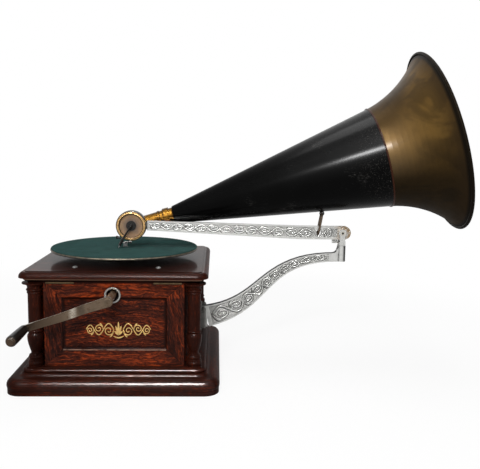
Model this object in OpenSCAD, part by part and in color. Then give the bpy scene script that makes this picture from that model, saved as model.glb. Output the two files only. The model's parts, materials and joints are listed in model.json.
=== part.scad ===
// Horn gramophone: a square oak case with a spring motor, a felt turntable,
// a crank, and a travelling arm on a cast side bracket that carries the
// soundbox and a black horn with a brass bell.
// Units are millimetres. The origin is the middle of the base's underside,
// +X points to the side with the bracket, -Y to the crank, +Z up.

/* [Case] */
// Distance between the outer faces of opposite framed sides
case_w = 262; // [252:1:285]
// Height of the case's top edge above the table
case_top = 172; // [166:1:190]
// Thickness of a framed side
frame_t = 21; // [18:1:24]
// Width of a frame's uprights
stile_w = 30; // [22:1:38]
// Height of a frame's top member
top_rail_h = 26; // [22:1:32]
// Height of a frame's bottom member
bottom_rail_h = 29; // [22:1:34]
// Thickness of a panel
panel_t = 8; // [5:0.5:11]
// Set-back of a panel's face behind its frame
panel_set = 4; // [2:0.5:6]
// Depth of the small moulding round a panel
panel_bevel = 3; // [1:0.5:5]
// Side of an inner corner post
post_w = 15; // [10:1:18]
// Thickness of the bottom board
bottom_t = 8; // [6:1:12]

/* [Base and lid mouldings] */
// How far the base stands out from the case
base_step = 36; // [32:1:42]
// Height of the base's plain lower edge
plinth_h = 7; // [4:0.5:10]
// Radius of the base's round nosing
nosing_r = 11.5; // [9:0.5:13]
// Height of the hollow above the nosing
base_cove_h = 5.25; // [3:0.25:8]
// Radius of the small bead on the base
base_bead_r = 3; // [2:0.25:4]
// Height of the flat above the base's bead
base_fillet_h = 1.5; // [1:0.25:3]
// Radius of the base's corners in plan
base_corner_r = 25; // [16:1:30]
// How far the lid's flat top stands out from the case
lid_over = 6.5; // [4:0.5:7]
// Radius of the lid's quarter-round edge
ovolo_r = 8.2; // [7:0.2:10]
// Height of the step above the quarter-round
lid_step_h = 1.2; // [0.4:0.1:1.5]
// Height of the square lip below the quarter-round
lid_lip_h = 1.2; // [1:0.1:3]
// Radius of the bead under the lid's lip
lid_bead_r = 2.2; // [2:0.1:3.2]
// Height of the hollow below the lid's bead
lid_cove_h = 4; // [1.5:0.1:4]
// Radius of the lid's corners in plan
lid_corner_r = 18; // [13:1:24]

/* [Columns] */
// Radius of a column's shaft
column_r = 10.2; // [8.5:0.1:11]
// Distance of a column's axis inside the case's faces
column_in = 5.5; // [5:0.5:7]
// Largest radius of a column's vase
vase_r = 12.6; // [11.5:0.1:13]
// Radius of a column's capital under the lid
capital_r = 18.4; // [14:0.2:19]

/* [Hinges and lid screws] */
// Length of a hinge
hinge_l = 44; // [28:1:46]
// Distance of a hinge's middle from the capital of the column beside it
hinge_x = 23.1; // [22.1:0.1:36]
// Thickness of a hinge leaf
hinge_t = 1.5; // [1:0.1:2]
// Radius of a hinge's knuckle
knuckle_r = 1.8; // [1.5:0.1:2.2]
// Distance of the lid screws from the middle, left and right, in the standard case
hanger_x = 66.5; // [60:0.5:68]
// Distance of the lid screws from the middle, front and back, in the standard case
hanger_y = 102; // [96:0.5:103]
// Radius of a lid screw's head
lid_screw_r = 4.2; // [3:0.1:5]

/* [Turntable] */
// Diameter of the turntable
platter_d = 254; // [240:1:256]
// Thickness of the turntable's metal
platter_t = 3.6; // [2.5:0.1:5]
// Thickness of the felt
felt_t = 1; // [0.6:0.1:2]
// Space between the lid and the turntable
platter_gap = 15; // [13:0.5:18]
// Diameter of the record spindle
spindle_d = 7.2; // [6.8:0.1:7.4]
// Height of the spindle above the felt
spindle_up = 6; // [5:0.1:6.2]
// Diameter of the spindle below the turntable
shaft_d = 9; // [8:0.2:10]

/* [Crank] */
// Distance of the crank's axis left of the middle
crank_off = 2.5; // [0:0.5:5]
// Distance of the crank's axis below the case's top edge
crank_drop = 19.5; // [19:0.1:21]
// Throw of the crank
crank_throw = 128.5; // [110:0.5:140]
// Angle of the crank arm below the horizontal
crank_fall = 18; // [0:1:60]
// Distance of the crank arm in front of the case
crank_reach = 42; // [38:1:55]
// Diameter of the crank shaft
crank_d = 12; // [10:0.2:12.6]
// Length of the crank's grip
grip_l = 66; // [48:1:70]
// Largest radius of the grip
grip_r = 8; // [7:0.1:10]

/* [Bracket and travelling arm] */
// Distance of the arm's upright axis from the case's side
bracket_reach = 250.6; // [242:0.2:258]
// Height of the bracket's root above the table
bracket_root_z = 86; // [82:0.5:92]
// Thickness of the bracket
bracket_t = 12; // [9:0.5:16]
// Height of the arm's pin above the felt
pin_rise = 27.3; // [26.5:0.1:30]
// Thickness of the travelling arm
arm_t = 10; // [8:0.2:11]
// Height of the arm at its soundbox end
arm_tip_h = 16.8; // [14:0.2:19]
// Height of the arm at its pin
arm_root_h = 23.4; // [21:0.2:24]
// Diameter of the yoke's stem
stem_d = 11; // [9:0.2:12]
// Diameter of the arm's pin
arm_pin_d = 6; // [5:0.2:7]
// Length of the bracket's upright socket
socket_h = 27.7; // [22:0.2:32]
// Radius of the bail's wire
bail_r = 1.8; // [1.2:0.1:1.8]

/* [Soundbox and horn] */
// Radius of the soundbox
soundbox_r = 26; // [23:0.2:28]
// Depth of the soundbox
soundbox_t = 16; // [13:0.5:19]
// Distance of the soundbox's middle right of the spindle
soundbox_x = 12.4; // [11:0.1:14]
// Height of the soundbox's middle above the arm's pin
soundbox_rise = 10.5; // [9.5:0.1:13]
// Radius of the diaphragm that shows
diaphragm_r = 20; // [17:0.2:21]
// Distance of the needle's tip left of the spindle
needle_off = 8.4; // [7.6:0.1:10]
// Upward tilt of the horn
horn_tilt = 16.35; // [16:0.05:17]
// Sideways turn of the horn towards the crank
horn_turn = 2.6; // [2:0.1:2.8]
// Radius of the black cone's small end
cone_r0 = 15.6; // [14.5:0.1:16]
// Radius of the black cone's large end
cone_r1 = 87.8; // [85:0.2:90]
// Length of the black cone along its axis
cone_l = 376; // [360:1:390]
// Length of the bell along its axis
bell_l = 104; // [96:1:112]
// Radius of the bell's mouth
bell_r = 158; // [150:0.5:165]
// Thickness of the horn's sheet metal
horn_t = 1.2; // [0.9:0.1:1.6]
// Radius of the bell's rolled rim
rim_r = 3; // [2:0.1:4]

/* [Motor] */
// Thickness of a motor plate
plate_t = 4; // [3:0.5:5]
// Distance of the spring barrel's axis in front of the spindle, in the standard case
barrel_y = 58; // [57:0.5:60]
// Outer radius of the spring barrel, in the standard case
barrel_r = 44; // [42:0.5:45]
// Height of the spring barrel
barrel_h = 36; // [32:1:37]
// Diameter of the winding arbor
arbor_d = 10; // [9:0.2:11]
// Thickness of the spur gears
gear_t = 5; // [4:0.5:6]

/* [Hidden] */
// Radial clearance of a running shaft
run_gap = 0.05;
// Clearance between pieces that pass each other
free_gap = 0.3;
// Smoothness of round surfaces
$fn = 64;
// A cut reaches this far past the faces that it opens
cut = 1;

// Case levels and half widths
case_half = case_w / 2;
frame_half = case_half - frame_t;
base_half = case_half + base_step;
nosing_top = plinth_h + 1.5 * nosing_r;
base_h = nosing_top + base_cove_h + 2 * base_bead_r + base_fillet_h;
lid_t = lid_step_h + ovolo_r + lid_lip_h + 2 * lid_bead_r + lid_cove_h;
lid_top = case_top + lid_t;
lid_flat = case_half + lid_over;
lid_half = lid_flat + 2 + ovolo_r;
column_at = case_half - column_in;
panel_half = frame_half - stile_w;
panel_low = base_h + bottom_rail_h;
panel_high = case_top - top_rail_h;
panel_tongue = 5;

// Turntable and crank levels
platter_z = lid_top + platter_gap;
felt_z = platter_z + platter_t;
felt_top = felt_z + felt_t;
platter_hub_h = 7;
crank_x = -crank_off;
crank_z = case_top - crank_drop;
crank_y = -case_half - crank_reach;
crank_bar_t = 5;
grip_at = [crank_x - crank_throw * cos(crank_fall), crank_z - crank_throw * sin(crank_fall)];
escutcheon_r = 12.9;
escutcheon_hole = crank_d / 2 + 3.8;

// Bracket and arm places
pivot_x = case_half + bracket_reach;
pin_z = felt_top + pin_rise;
yoke_seat = pin_z - 15.3;
yoke_foot = yoke_seat - 8;
socket_low = yoke_foot - socket_h;
socket_r = stem_d / 2 + 2.1;
tine_t = 5;
tine_in = arm_t / 2 + free_gap + 0.2;
tine_out = tine_in + tine_t;
collar_r = stem_d / 2 + 1.8;
soundbox_at = [soundbox_x, -12, pin_z + soundbox_rise];
arm_left = soundbox_x + soundbox_r + free_gap;
arm_tip_z = pin_z + 9.6;
arm_level_x = pivot_x - 75;
arm_end_x = pivot_x + 3.7;
bail_x = pivot_x - 41.5;
bail_hole_r = bail_r + 3;
bail_half = arm_t / 2 + bail_r + 1.5;
bail_low = pin_z - 0.6 - bail_hole_r + bail_r + 0.25 + bail_half;

// Horn places
horn_tip = [soundbox_x + 71.3, arm_t / 2 + 17, soundbox_at[2] + 16.1];
horn_slope = (cone_r1 - cone_r0) / cone_l;
elbow_r0 = cone_r0 - 3.6;
elbow_r1 = cone_r0 - 2;
elbow_ball_r = elbow_r0 + 3;
throat_r = 10;
elbow_wall = 1.2;
bell_turn = 41;
seam_r = 1.4;
// Horn axis height and under-side height over a place along X, in the middle plane of the horn
cone_under_tilt = horn_tilt - atan(horn_slope);
function cone_under(x) = horn_tip[2] - cone_r0 * cos(horn_tilt)
  + (x - horn_tip[0] - cone_r0 * sin(horn_tilt)) * tan(cone_under_tilt);
eye_x = bail_x + 5;
eye_wire = 1;
eye_r = bail_r + 0.7 + eye_wire;
eye_z = cone_under(eye_x) - 2.2;
bail_lean = atan((eye_x - bail_x) / (eye_z - bail_low));
bail_l = (eye_z - bail_low) / cos(bail_lean) - bail_half + 0.6;

// The motor's plan grows with the room between the framed sides
standard_room = 220;
motor_fit = (case_w - 2 * frame_t) / standard_room;
screw_x = hanger_x * motor_fit;
screw_y = hanger_y * motor_fit;
barrel_axis = barrel_y * motor_fit;
drum_r = barrel_r * motor_fit;

// Motor levels
bed_z = case_top - 46;
bed_top = bed_z + plate_t;
low_z = bed_z - 61 - plate_t;
low_top = low_z + plate_t;
barrel_at = [crank_x, -barrel_axis];
wall_t = 2.5;
great_z = low_top + 7;
barrel_top = great_z + barrel_h;
cap_t = 2;
middle_gear_z = barrel_top + cap_t + 3;
spindle_gear_z = bed_top + 22;
journal_r = 3;
governor_journal_r = 2;

// Gear trains: teeth and modules
great_n = 80;
middle_pinion_n = 16;
great_m = 1.25 * motor_fit;
middle_n = 48;
spindle_pinion_n = 16;
middle_m = motor_fit;
spindle_n = 72;
governor_pinion_n = 12;
governor_m = motor_fit;
bevel_pinion_n = 16;
bevel_wheel_n = 32;
bevel_m = 1.5 * motor_fit;
tooth_thin = 0.1;
// Distances between meshing axes
great_d = great_m * (great_n + middle_pinion_n) / 2;
middle_d = middle_m * (middle_n + spindle_pinion_n) / 2;
governor_d = governor_m * (spindle_n + governor_pinion_n) / 2;
// The middle arbor stands where both its meshes have their distances
barrel_far = norm(barrel_at);
middle_along = (great_d * great_d - middle_d * middle_d + barrel_far * barrel_far) / (2 * barrel_far);
middle_aside = sqrt(great_d * great_d - middle_along * middle_along);
barrel_dir = -barrel_at / barrel_far;
middle_at = barrel_at + middle_along * barrel_dir + middle_aside * [barrel_dir[1], -barrel_dir[0]];
governor_at = [0, governor_d];
great_aim = atan2(middle_at[1] - barrel_at[1], middle_at[0] - barrel_at[0]);
middle_aim = atan2(-middle_at[1], -middle_at[0]);
// Bevel pair between crank and winding arbor
bevel_pinion_r = bevel_m * bevel_pinion_n / 2;
bevel_wheel_r = bevel_m * bevel_wheel_n / 2;
bevel_cone = norm([bevel_pinion_r, bevel_wheel_r]);
bevel_face = 9;
bevel_shrink = 1 - bevel_face / bevel_cone;
bevel_wheel_z = crank_z - bevel_pinion_r;
ratchet_z = bed_top + 1;
ratchet_n = 24;
ratchet_r = 19;
// Governor parts
governor_disc_r = 20;
governor_disc_z = low_top + 10;
governor_low = governor_disc_z + 8;
governor_high = bed_z - 8;
governor_bow = 14;
weight_r = 6;
weight_l = 8;
speed_r = 3;

wood = [0.27, 0.11, 0.05];
dark_wood = [0.2, 0.08, 0.04];
nickel = [0.72, 0.72, 0.7];
steel = [0.5, 0.5, 0.5];
brass = [0.72, 0.52, 0.2];
old_brass = [0.45, 0.33, 0.14];
black = [0.05, 0.05, 0.05];

// Involute helpers: the tooth's half angle at radius r of a gear with n teeth of module m
function involute(a) = tan(a) - a * PI / 180;
function tooth_half(r, n, m, thin) =
  let (pitch = n * m / 2, base = pitch * cos(20), a = r > base ? acos(base / r) : 0)
  90 / n + (involute(20) - involute(a) - thin / pitch) * 180 / PI;
function polar(r, a) = [r * cos(a), r * sin(a)];

// Outline of a spur gear whose first tooth points along +X
module gear_shape(n, m, thin = tooth_thin, tip = 0.85, root = 1.15) {
  pitch = n * m / 2;
  levels = [pitch - root * m, pitch, pitch + tip * m];
  half = [for (r = levels) tooth_half(r, n, m, thin)];
  polygon([for (i = [0:n - 1], k = [0:5])
    let (j = k < 3 ? k : 5 - k, side = k < 3 ? -1 : 1)
    polar(levels[j], 360 * i / n + side * half[j])]);
}

module gear(n, m, t, bore, aim = 0) {
  rotate(aim) linear_extrude(t) difference() {
    gear_shape(n, m);
    circle(bore);
  }
}

// A spur gear with a hub that reaches from z = low to z = high
module hub_gear(n, m, bore, aim, low, high) difference() {
  union() {
    rotate(aim) linear_extrude(gear_t) gear_shape(n, m);
    translate([0, 0, low]) cylinder(h = high - low, r = bore + 4);
  }
  translate([0, 0, low - cut]) cylinder(h = high - low + 2 * cut, r = bore);
}

// A bevel gear's outline at its large end; cone is the pitch cone's half angle
function bevel_radius(x, r, cone) = r / tan(cone) * tan(cone + x / bevel_cone * 180 / PI);
function bevel_half(x, n, r, cone, thin) =
  let (virtual = r / cos(cone))
  tooth_half(virtual + x, n / cos(cone), bevel_m, thin) * (virtual + x) / (r + x * cos(cone));

module bevel_shape(n, r, cone, thin = 0.16, tip = 0.75, root = 1.05) {
  levels = [-root * bevel_m, 0, tip * bevel_m];
  polygon([for (i = [0:n - 1], k = [0:5])
    let (j = k < 3 ? k : 5 - k, side = k < 3 ? -1 : 1)
    polar(bevel_radius(levels[j], r, cone),
      360 * i / n + side * bevel_half(levels[j], n, r, cone, thin))]);
}

// A ring of moulding round a square. The profile is drawn with x as the distance from the square's
// middle and starts at x = run, where its corners turn.
module moulding_ring(run) {
  for (a = [0:90:270]) rotate(a) {
    translate([0, run, 0]) rotate([90, 0, 0]) linear_extrude(2 * run) children();
    translate([run, run, 0]) rotate_extrude(angle = 90) intersection() {
      translate([-run, 0]) children();
      square([run, 2 * case_top]);
    }
  }
}

// Points of an arc about c, from angle a to angle b
function arc(c, r, a, b, n = 8) = [for (i = [0:n]) c + polar(r, a + (b - a) * i / n)];

// A straight round bar between two points
module rod(p, q, r, r2 = undef) {
  d = q - p;
  translate(p) rotate([0, acos(d[2] / norm(d)), atan2(d[1], d[0])])
    cylinder(h = norm(d), r1 = r, r2 = is_undef(r2) ? r : r2);
}

// A box given by its lowest and highest corners
module box(a, b) {
  translate(a) cube(b - a);
}

// A disc or tube along Y, from y = a to y = b
module y_disc(x, z, a, b, r) {
  translate([x, b, z]) rotate([90, 0, 0]) cylinder(h = b - a, r = r);
}

base_run = base_half - base_corner_r;
base_top_run = case_half - 1;
base_hole = frame_half - post_w;

module nosing_profile() {
  foot = base_half - 1;
  polygon(concat([[base_run, 0], [foot, 0], [foot, plinth_h]],
    arc([base_half - nosing_r, plinth_h + nosing_r / 2], nosing_r, -30, 90), [[base_run, nosing_top]]));
}

module base_top_profile() {
  cove_at = base_half - nosing_r - 4.5;
  cove_top = nosing_top + base_cove_h;
  bead_at = case_half + 10.5;
  fillet_at = case_half + 8;
  polygon(concat([[base_top_run, nosing_top - cut]], [[cove_at, nosing_top - cut]],
    arc([cove_at, cove_top], base_cove_h, 270, 180),
    arc([bead_at, cove_top + base_bead_r], base_bead_r, -90, 90),
    [[fillet_at, base_h - base_fillet_h], [fillet_at, base_h], [base_top_run, base_h]]));
}

module base_moulding() color(wood) difference() {
  union() {
    moulding_ring(base_run) nosing_profile();
    moulding_ring(base_top_run) base_top_profile();
    box([-base_run, -base_run, 0], [base_run, base_run, nosing_top]);
    box([-base_top_run, -base_top_run, 0], [base_top_run, base_top_run, base_h]);
  }
  box([-base_hole, -base_hole, -cut], [base_hole, base_hole, base_h + cut]);
}

module bottom_board() color(dark_wood)
  box([-base_hole, -base_hole, 0], [base_hole, base_hole, bottom_t]);

// A framed side, drawn as the front one
module side_frame() color(wood) {
  groove = panel_tongue + free_gap;
  panel_y = -case_half + panel_set;
  difference() {
    box([-frame_half, -case_half, base_h], [frame_half, -frame_half, case_top]);
    box([-panel_half, -case_half - cut, panel_low], [panel_half, -frame_half + cut, panel_high]);
    box([-panel_half - groove, panel_y, panel_low - groove],
      [panel_half + groove, panel_y + panel_t, panel_high + groove]);
    hull() {
      box([-panel_half - panel_bevel, -case_half - cut, panel_low - panel_bevel],
        [panel_half + panel_bevel, -case_half, panel_high + panel_bevel]);
      box([-panel_half, -case_half + panel_bevel, panel_low],
        [panel_half, -case_half + panel_bevel + 0.01, panel_high]);
    }
    for (m = [0, 1]) mirror([m, 0, 0]) {
      mitre_cut([panel_half, panel_low], [frame_half, base_h]);
      mitre_cut([panel_half, panel_high], [frame_half, case_top]);
    }
  }
}

// The thin line where two mitred frame members meet
module mitre_cut(p, q) {
  line_w = 0.6;
  line_deep = 0.4;
  past = 5;
  d = (q - p) / norm(q - p);
  side = line_w / 2 * [-d[1], d[0]];
  upright(-case_half - cut, -case_half + line_deep) polygon([p - past * d - side, q + past * d - side,
    q + past * d + side, p - past * d + side]);
}

module side_panel() color(wood) {
  panel_y = -case_half + panel_set;
  box([-panel_half - panel_tongue, panel_y, panel_low - panel_tongue],
    [panel_half + panel_tongue, panel_y + panel_t, panel_high + panel_tongue]);
}

module crank_hole() y_disc(crank_x, crank_z, -case_half - cut, -frame_half + cut, escutcheon_hole);

speed_z = governor_disc_z + 2;
module speed_hole() y_disc(0, speed_z, frame_half - cut, case_half + cut, speed_r + run_gap);

module front_frame() color(wood) difference() {
  side_frame();
  crank_hole();
  for (m = [-1, 1]) hinge_leaf(m, 0, -hinge_t);
}

module back_frame() color(wood) difference() {
  rotate(180) side_frame();
  speed_hole();
}

module left_frame() rotate(-90) side_frame();

module right_frame() difference() {
  rotate(90) side_frame();
  socket_plate();
}

module front_panel() color(wood) difference() {
  side_panel();
  crank_hole();
}

module back_panel() color(wood) difference() {
  rotate(180) side_panel();
  speed_hole();
}

module side_panels() for (a = [-90, 90]) rotate(a) side_panel();

module corner_posts() color(dark_wood) for (a = [0:90:270]) rotate(a)
  box([frame_half - post_w, frame_half - post_w, base_h], [frame_half, frame_half, case_top]);

// A turned column: foot and vase stand on the base, rings hang from the top
module column_profile() {
  h = case_top - base_h;
  neck_r = column_r - 3;
  flare = capital_r - column_r - 1.4;
  module ring(r, z, w) translate([r - w, z]) circle(w);
  polygon(concat(
    [[0, 0], [vase_r - 1, 0], [vase_r - 1, 10], [column_r, 11], [column_r, 18], [neck_r, 20],
      [neck_r, 23], [column_r - 1.6, 27]],
    [for (i = [1:8]) [column_r - 1.6 + (vase_r - column_r + 1.6) * sin(i * 11.25), 27 + 21 * i / 8]],
    [for (i = [1:5]) [vase_r - (vase_r - column_r + 0.8) * (1 - cos(i * 18)), 48 + 6.6 * i / 5]],
    [[column_r, 58.5], [column_r, h - 18.5], [column_r + 0.6, h - 12], [column_r + 0.6, h - 8.5]],
    [for (i = [1:6]) [capital_r - 0.8 - flare * cos(i * 15), h - 8.5 + 6.5 * sin(i * 15)]],
    [[capital_r, h - 2], [capital_r, h], [0, h]]));
  ring(vase_r, 5, 5);
  ring(column_r + 0.9, 14.5, 3.6);
  ring(column_r + 1.3, 56.5, 1.8);
  ring(column_r + 1.3, h - 16.4, 1.8);
  ring(column_r + 2.2, h - 12, 2);
}

// The capital is cut flat where it meets the ends of two framed sides
module corner_columns() color(wood) for (a = [0:90:270]) rotate(a) intersection() {
  translate([column_at, column_at, base_h]) rotate_extrude() column_profile();
  box([frame_half, frame_half, base_h], [case_half + capital_r, case_half + capital_r, case_top]);
}

lid_run = lid_half - lid_corner_r;
module lid_profile() {
  foot = case_half + 3;
  bead_z = case_top + lid_cove_h + lid_bead_r;
  lip_z = bead_z + lid_bead_r;
  ovolo_z = lip_z + lid_lip_h;
  polygon(concat([[lid_run, case_top]],
    arc([foot + lid_cove_h, case_top], lid_cove_h, 180, 90),
    arc([foot + lid_cove_h + 0.6, bead_z], lid_bead_r, -90, 90),
    [[lid_half, lip_z]],
    arc([lid_half - ovolo_r, ovolo_z], ovolo_r, 0, 90),
    [[lid_flat, lid_top - lid_step_h], [lid_flat, lid_top], [lid_run, lid_top]]));
}

module lid_moulding() color(wood) difference() {
  moulding_ring(lid_run) lid_profile();
  for (m = [-1, 1]) {
    hinge_leaf(m, 0, hinge_t);
    hinge_pocket(m);
  }
  brake_hole();
}

module lid_board() color(wood) difference() {
  box([-lid_run, -lid_run, case_top], [lid_run, lid_run, lid_top]);
  for (m = [-1, 1]) hinge_leaf(m, 0, hinge_t);
  translate([0, 0, case_top - cut]) cylinder(h = lid_t + 2 * cut, r = bush_r);
  at_hangers() translate([0, 0, case_top - cut]) cylinder(h = lid_t + 2 * cut, r = hanger_r);
  brake_hole();
}

// Hinges: a leaf let into the frame, a leaf let into the lid, and the knuckles in front
hinge_y = -case_half - knuckle_r - 0.2;
hinge_in = 10;
hinge_mid = case_half - column_in - capital_r - hinge_x;
module hinge_leaf(side, from, to) {
  low = min(from, to);
  box([side * hinge_mid - hinge_l / 2, -case_half - knuckle_r, case_top + low],
    [side * hinge_mid + hinge_l / 2, -case_half + hinge_in, case_top + low + hinge_t]);
}

module hinge_pocket(side) {
  room = knuckle_r + free_gap;
  box([side * hinge_mid - hinge_l / 2, hinge_y - room, case_top - cut],
    [side * hinge_mid + hinge_l / 2, -case_half, case_top + room]);
}

module knuckle(side, from, to) translate([side * hinge_mid + from * hinge_l, hinge_y, case_top])
  rotate([0, 90, 0]) cylinder(h = (to - from) * hinge_l, r = knuckle_r);

knuckle_part = 0.3;
module hinge_case_leaves() color(brass) for (m = [-1, 1]) difference() {
  union() {
    hinge_leaf(m, 0, -hinge_t);
    knuckle(m, -0.5, -0.5 + knuckle_part);
    knuckle(m, 0.5 - knuckle_part, 0.5);
  }
  translate([m * hinge_mid - hinge_l / 2 - cut, hinge_y, case_top]) rotate([0, 90, 0])
    cylinder(h = hinge_l + 2 * cut, r = knuckle_r / 2);
  knuckle(m, -0.5 + knuckle_part - 0.005, 0.5 - knuckle_part + 0.005);
}

module hinge_lid_leaves() color(brass) for (m = [-1, 1]) {
  difference() {
    union() {
      hinge_leaf(m, 0, hinge_t);
      knuckle(m, -0.5 + knuckle_part, 0.5 - knuckle_part);
    }
    knuckle(m, -0.5, -0.5 + knuckle_part);
    knuckle(m, 0.5 - knuckle_part, 0.5);
  }
  translate([m * hinge_mid - hinge_l / 2, hinge_y, case_top]) rotate([0, 90, 0])
    cylinder(h = hinge_l, r = knuckle_r / 2);
}

// Bolts that hang the motor under the lid
hanger_r = 3;
hanger_sleeve_r = 5;
module at_hangers() for (x = [-1, 1], y = [-1, 1]) translate([x * screw_x, y * screw_y, 0]) children();

module hanger_bolts() color(nickel) at_hangers() {
  head_h = 2;
  slot_w = 1;
  difference() {
    translate([0, 0, lid_top]) rotate_extrude() intersection() {
      translate([0, head_h - 6.5]) circle(6.5);
      square([lid_screw_r, head_h]);
    }
    translate([-lid_screw_r, -slot_w / 2, lid_top + head_h / 2]) cube([2 * lid_screw_r, slot_w, head_h]);
  }
  translate([0, 0, bed_z]) cylinder(h = lid_top - bed_z, r = hanger_r);
  translate([0, 0, bed_top]) cylinder(h = case_top - bed_top, r = hanger_sleeve_r);
}

module crank_escutcheon() color(nickel) translate([crank_x, -case_half, crank_z]) rotate([90, 0, 0])
  rotate_extrude() {
    ring_t = 2.6;
    translate([escutcheon_hole, 0]) square([escutcheon_r - escutcheon_hole, ring_t - 1]);
    translate([escutcheon_hole + 1, 0]) square([escutcheon_r - escutcheon_hole - 2, ring_t]);
    translate([escutcheon_hole + 1, ring_t - 1]) circle(1);
    translate([escutcheon_r - 1, ring_t - 1]) circle(1);
  }

// Bracket: an S-shaped casting from the case's side to the arm's upright axis
tongue_half = 17;
tongue_h = 36;
socket_plate_h = 40;
rib_r = 3.6;
rib_y = tongue_half + free_gap + rib_r;
rib_h = 33;
socket_back = case_half - panel_set;
socket_face = case_half + 4.2;
rib_x = socket_face + rib_r;
root_x = rib_x + rib_r + 2;
root_half_h = 19;
end_half_h = 7.6;
bow_low = 112;
bow_high = 138;
bow_angle = 11.3;
bracket_from = [root_x, bracket_root_z];
bracket_to = [pivot_x - socket_r + 1, socket_low + end_half_h];
bow_from = bracket_from + bow_low * [cos(bow_angle), sin(bow_angle)];
bow_to = bracket_to - [bow_high, 0];
function bow(t) = pow(1 - t, 3) * bracket_from + 3 * pow(1 - t, 2) * t * bow_from
  + 3 * (1 - t) * t * t * bow_to + t * t * t * bracket_to;
function bow_side(t) = let (d = bow(t + 0.001) - bow(t - 0.001)) [-d[1], d[0]] / norm(d);
function bow_half(t) = end_half_h + (root_half_h - end_half_h) * pow(1 - t, 1.5);
function bow_edge(t, side, inset) = bow(t) + side * (bow_half(t) - inset) * bow_side(t);

module bow_shape(from, to, inset, n = 20) polygon(concat(
  [for (i = [0:n]) bow_edge(from + (to - from) * i / n, 1, inset)],
  [for (i = [n:-1:0]) bow_edge(from + (to - from) * i / n, -1, inset)]));

// Turns a drawing in X and Z into a plate that reaches from y = a to y = b
module upright(a, b) translate([0, b, 0]) rotate([90, 0, 0]) linear_extrude(b - a) children();

module bracket() color(nickel) difference() {
  border = 2.2;
  sunk = 1;
  fillet_r = 8;
  half = bracket_t / 2;
  union() {
    upright(-half, half) bow_shape(0, 1, 0);
    box([rib_x - rib_r, -half, bracket_root_z - root_half_h],
      [root_x + 0.5, half, bracket_root_z + root_half_h]);
    box([socket_face, -tongue_half, bracket_root_z - tongue_h / 2],
      [rib_x, tongue_half, bracket_root_z + tongue_h / 2]);
    translate([pivot_x, 0, socket_low]) cylinder(h = socket_h, r = socket_r);
    upright(-half, half) translate(bracket_to + [-1, end_half_h]) difference() {
      translate([-fillet_r, -1]) square([fillet_r + 2, fillet_r + 1]);
      translate([-fillet_r, fillet_r]) circle(fillet_r);
    }
  }
  translate([pivot_x, 0, socket_low - cut]) cylinder(h = socket_h + 2 * cut, r = stem_d / 2 + run_gap);
  for (s = [-1, 1]) upright(s > 0 ? half - sunk : -half - cut, s > 0 ? half + cut : -half + sunk)
    bow_shape(0.02, 0.96, border);
}

module socket_plate() box([socket_back, -rib_y - rib_r - 1.5, bracket_root_z - socket_plate_h / 2],
  [socket_face, rib_y + rib_r + 1.5, bracket_root_z + socket_plate_h / 2]);

module bracket_socket() color(nickel) difference() {
  low = bracket_root_z - rib_h / 2;
  union() {
    socket_plate();
    for (s = [-1, 1]) translate([rib_x, s * rib_y, low]) {
      cylinder(h = rib_h, r = rib_r);
      translate([0, 0, rib_h]) sphere(rib_r);
      translate([socket_face - rib_x - cut, -rib_r, 0]) cube([rib_x - socket_face + cut, 2 * rib_r, rib_h]);
    }
  }
  at_socket_screws() translate([socket_back - cut, 0, 0]) rotate([0, 90, 0])
    cylinder(h = socket_face - socket_back + 2 * cut, r = socket_screw_r);
}

socket_screw_r = 2.2;
module at_socket_screws() for (y = [-1, 1], z = [-1, 1])
  translate([0, y * (tongue_half - 4), bracket_root_z + z * (socket_plate_h / 2 - 5)]) children();

module socket_screws() color(steel) at_socket_screws() translate([socket_back, 0, 0]) rotate([0, 90, 0])
  cylinder(h = socket_face - socket_back, r = socket_screw_r);

// Motor frame: a bedplate hung from the lid and a lower plate on pillars
bed_half_x = screw_x + 8;
bed_half_y = screw_y + 6;
low_half_x = 56 * motor_fit;
low_front = barrel_axis + 48 * motor_fit;
low_back = governor_d + 30 * motor_fit;
pillar_r = 4;
pillar_x = low_half_x - 7;
step_r = 9;
step_h = 5;
bearing_y = -barrel_axis - bevel_wheel_r - 11;
bearing_half = crank_d / 2 + 4;

// The upright bores of both plates: barrel, middle arbor, spindle and governor
module plate_bores(z, barrel_bore, spindle_bore, governor_bore) translate([0, 0, z - cut]) {
  h = plate_t + 2 * cut;
  translate(barrel_at) cylinder(h = h, r = barrel_bore + run_gap);
  translate(middle_at) cylinder(h = h, r = journal_r + run_gap);
  translate(governor_at) cylinder(h = h, r = governor_bore + run_gap);
  cylinder(h = h, r = spindle_bore + run_gap);
}

module bedplate() color(steel) difference() {
  union() {
    box([-bed_half_x, -bed_half_y, bed_z], [bed_half_x, bed_half_y, bed_top]);
    box([crank_x - bearing_half, bearing_y - 5, bed_top - cut],
      [crank_x + bearing_half, bearing_y + 5, crank_z + bearing_half]);
  }
  plate_bores(bed_z, arbor_d / 2, shaft_d / 2, governor_shaft_r);
  y_disc(crank_x, crank_z, bearing_y - 5 - cut, bearing_y + 5 + cut, crank_d / 2 + run_gap);
  at_hangers() translate([0, 0, bed_z - cut]) cylinder(h = plate_t + 2 * cut, r = hanger_r);
  translate([pawl_at[0], pawl_at[1], bed_z - cut])
    cylinder(h = plate_t + 2 * cut, r = pawl_pin_r + run_gap);
}

module lower_plate() color(steel) difference() {
  union() {
    box([-low_half_x, -low_front, low_z], [low_half_x, low_back, low_top]);
    translate([0, 0, low_z - step_h]) cylinder(h = step_h + cut, r = step_r);
  }
  plate_bores(low_z, journal_r, shaft_d / 2, governor_journal_r);
  translate([0, 0, low_z - step_h + 2]) cylinder(h = step_h + plate_t, r = shaft_d / 2 + run_gap);
}

module motor_pillars() color(steel) for (x = [-1, 1], y = [-low_front + 7, low_back - 7])
  translate([x * pillar_x, y, low_top]) cylinder(h = bed_z - low_top, r = pillar_r);

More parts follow.
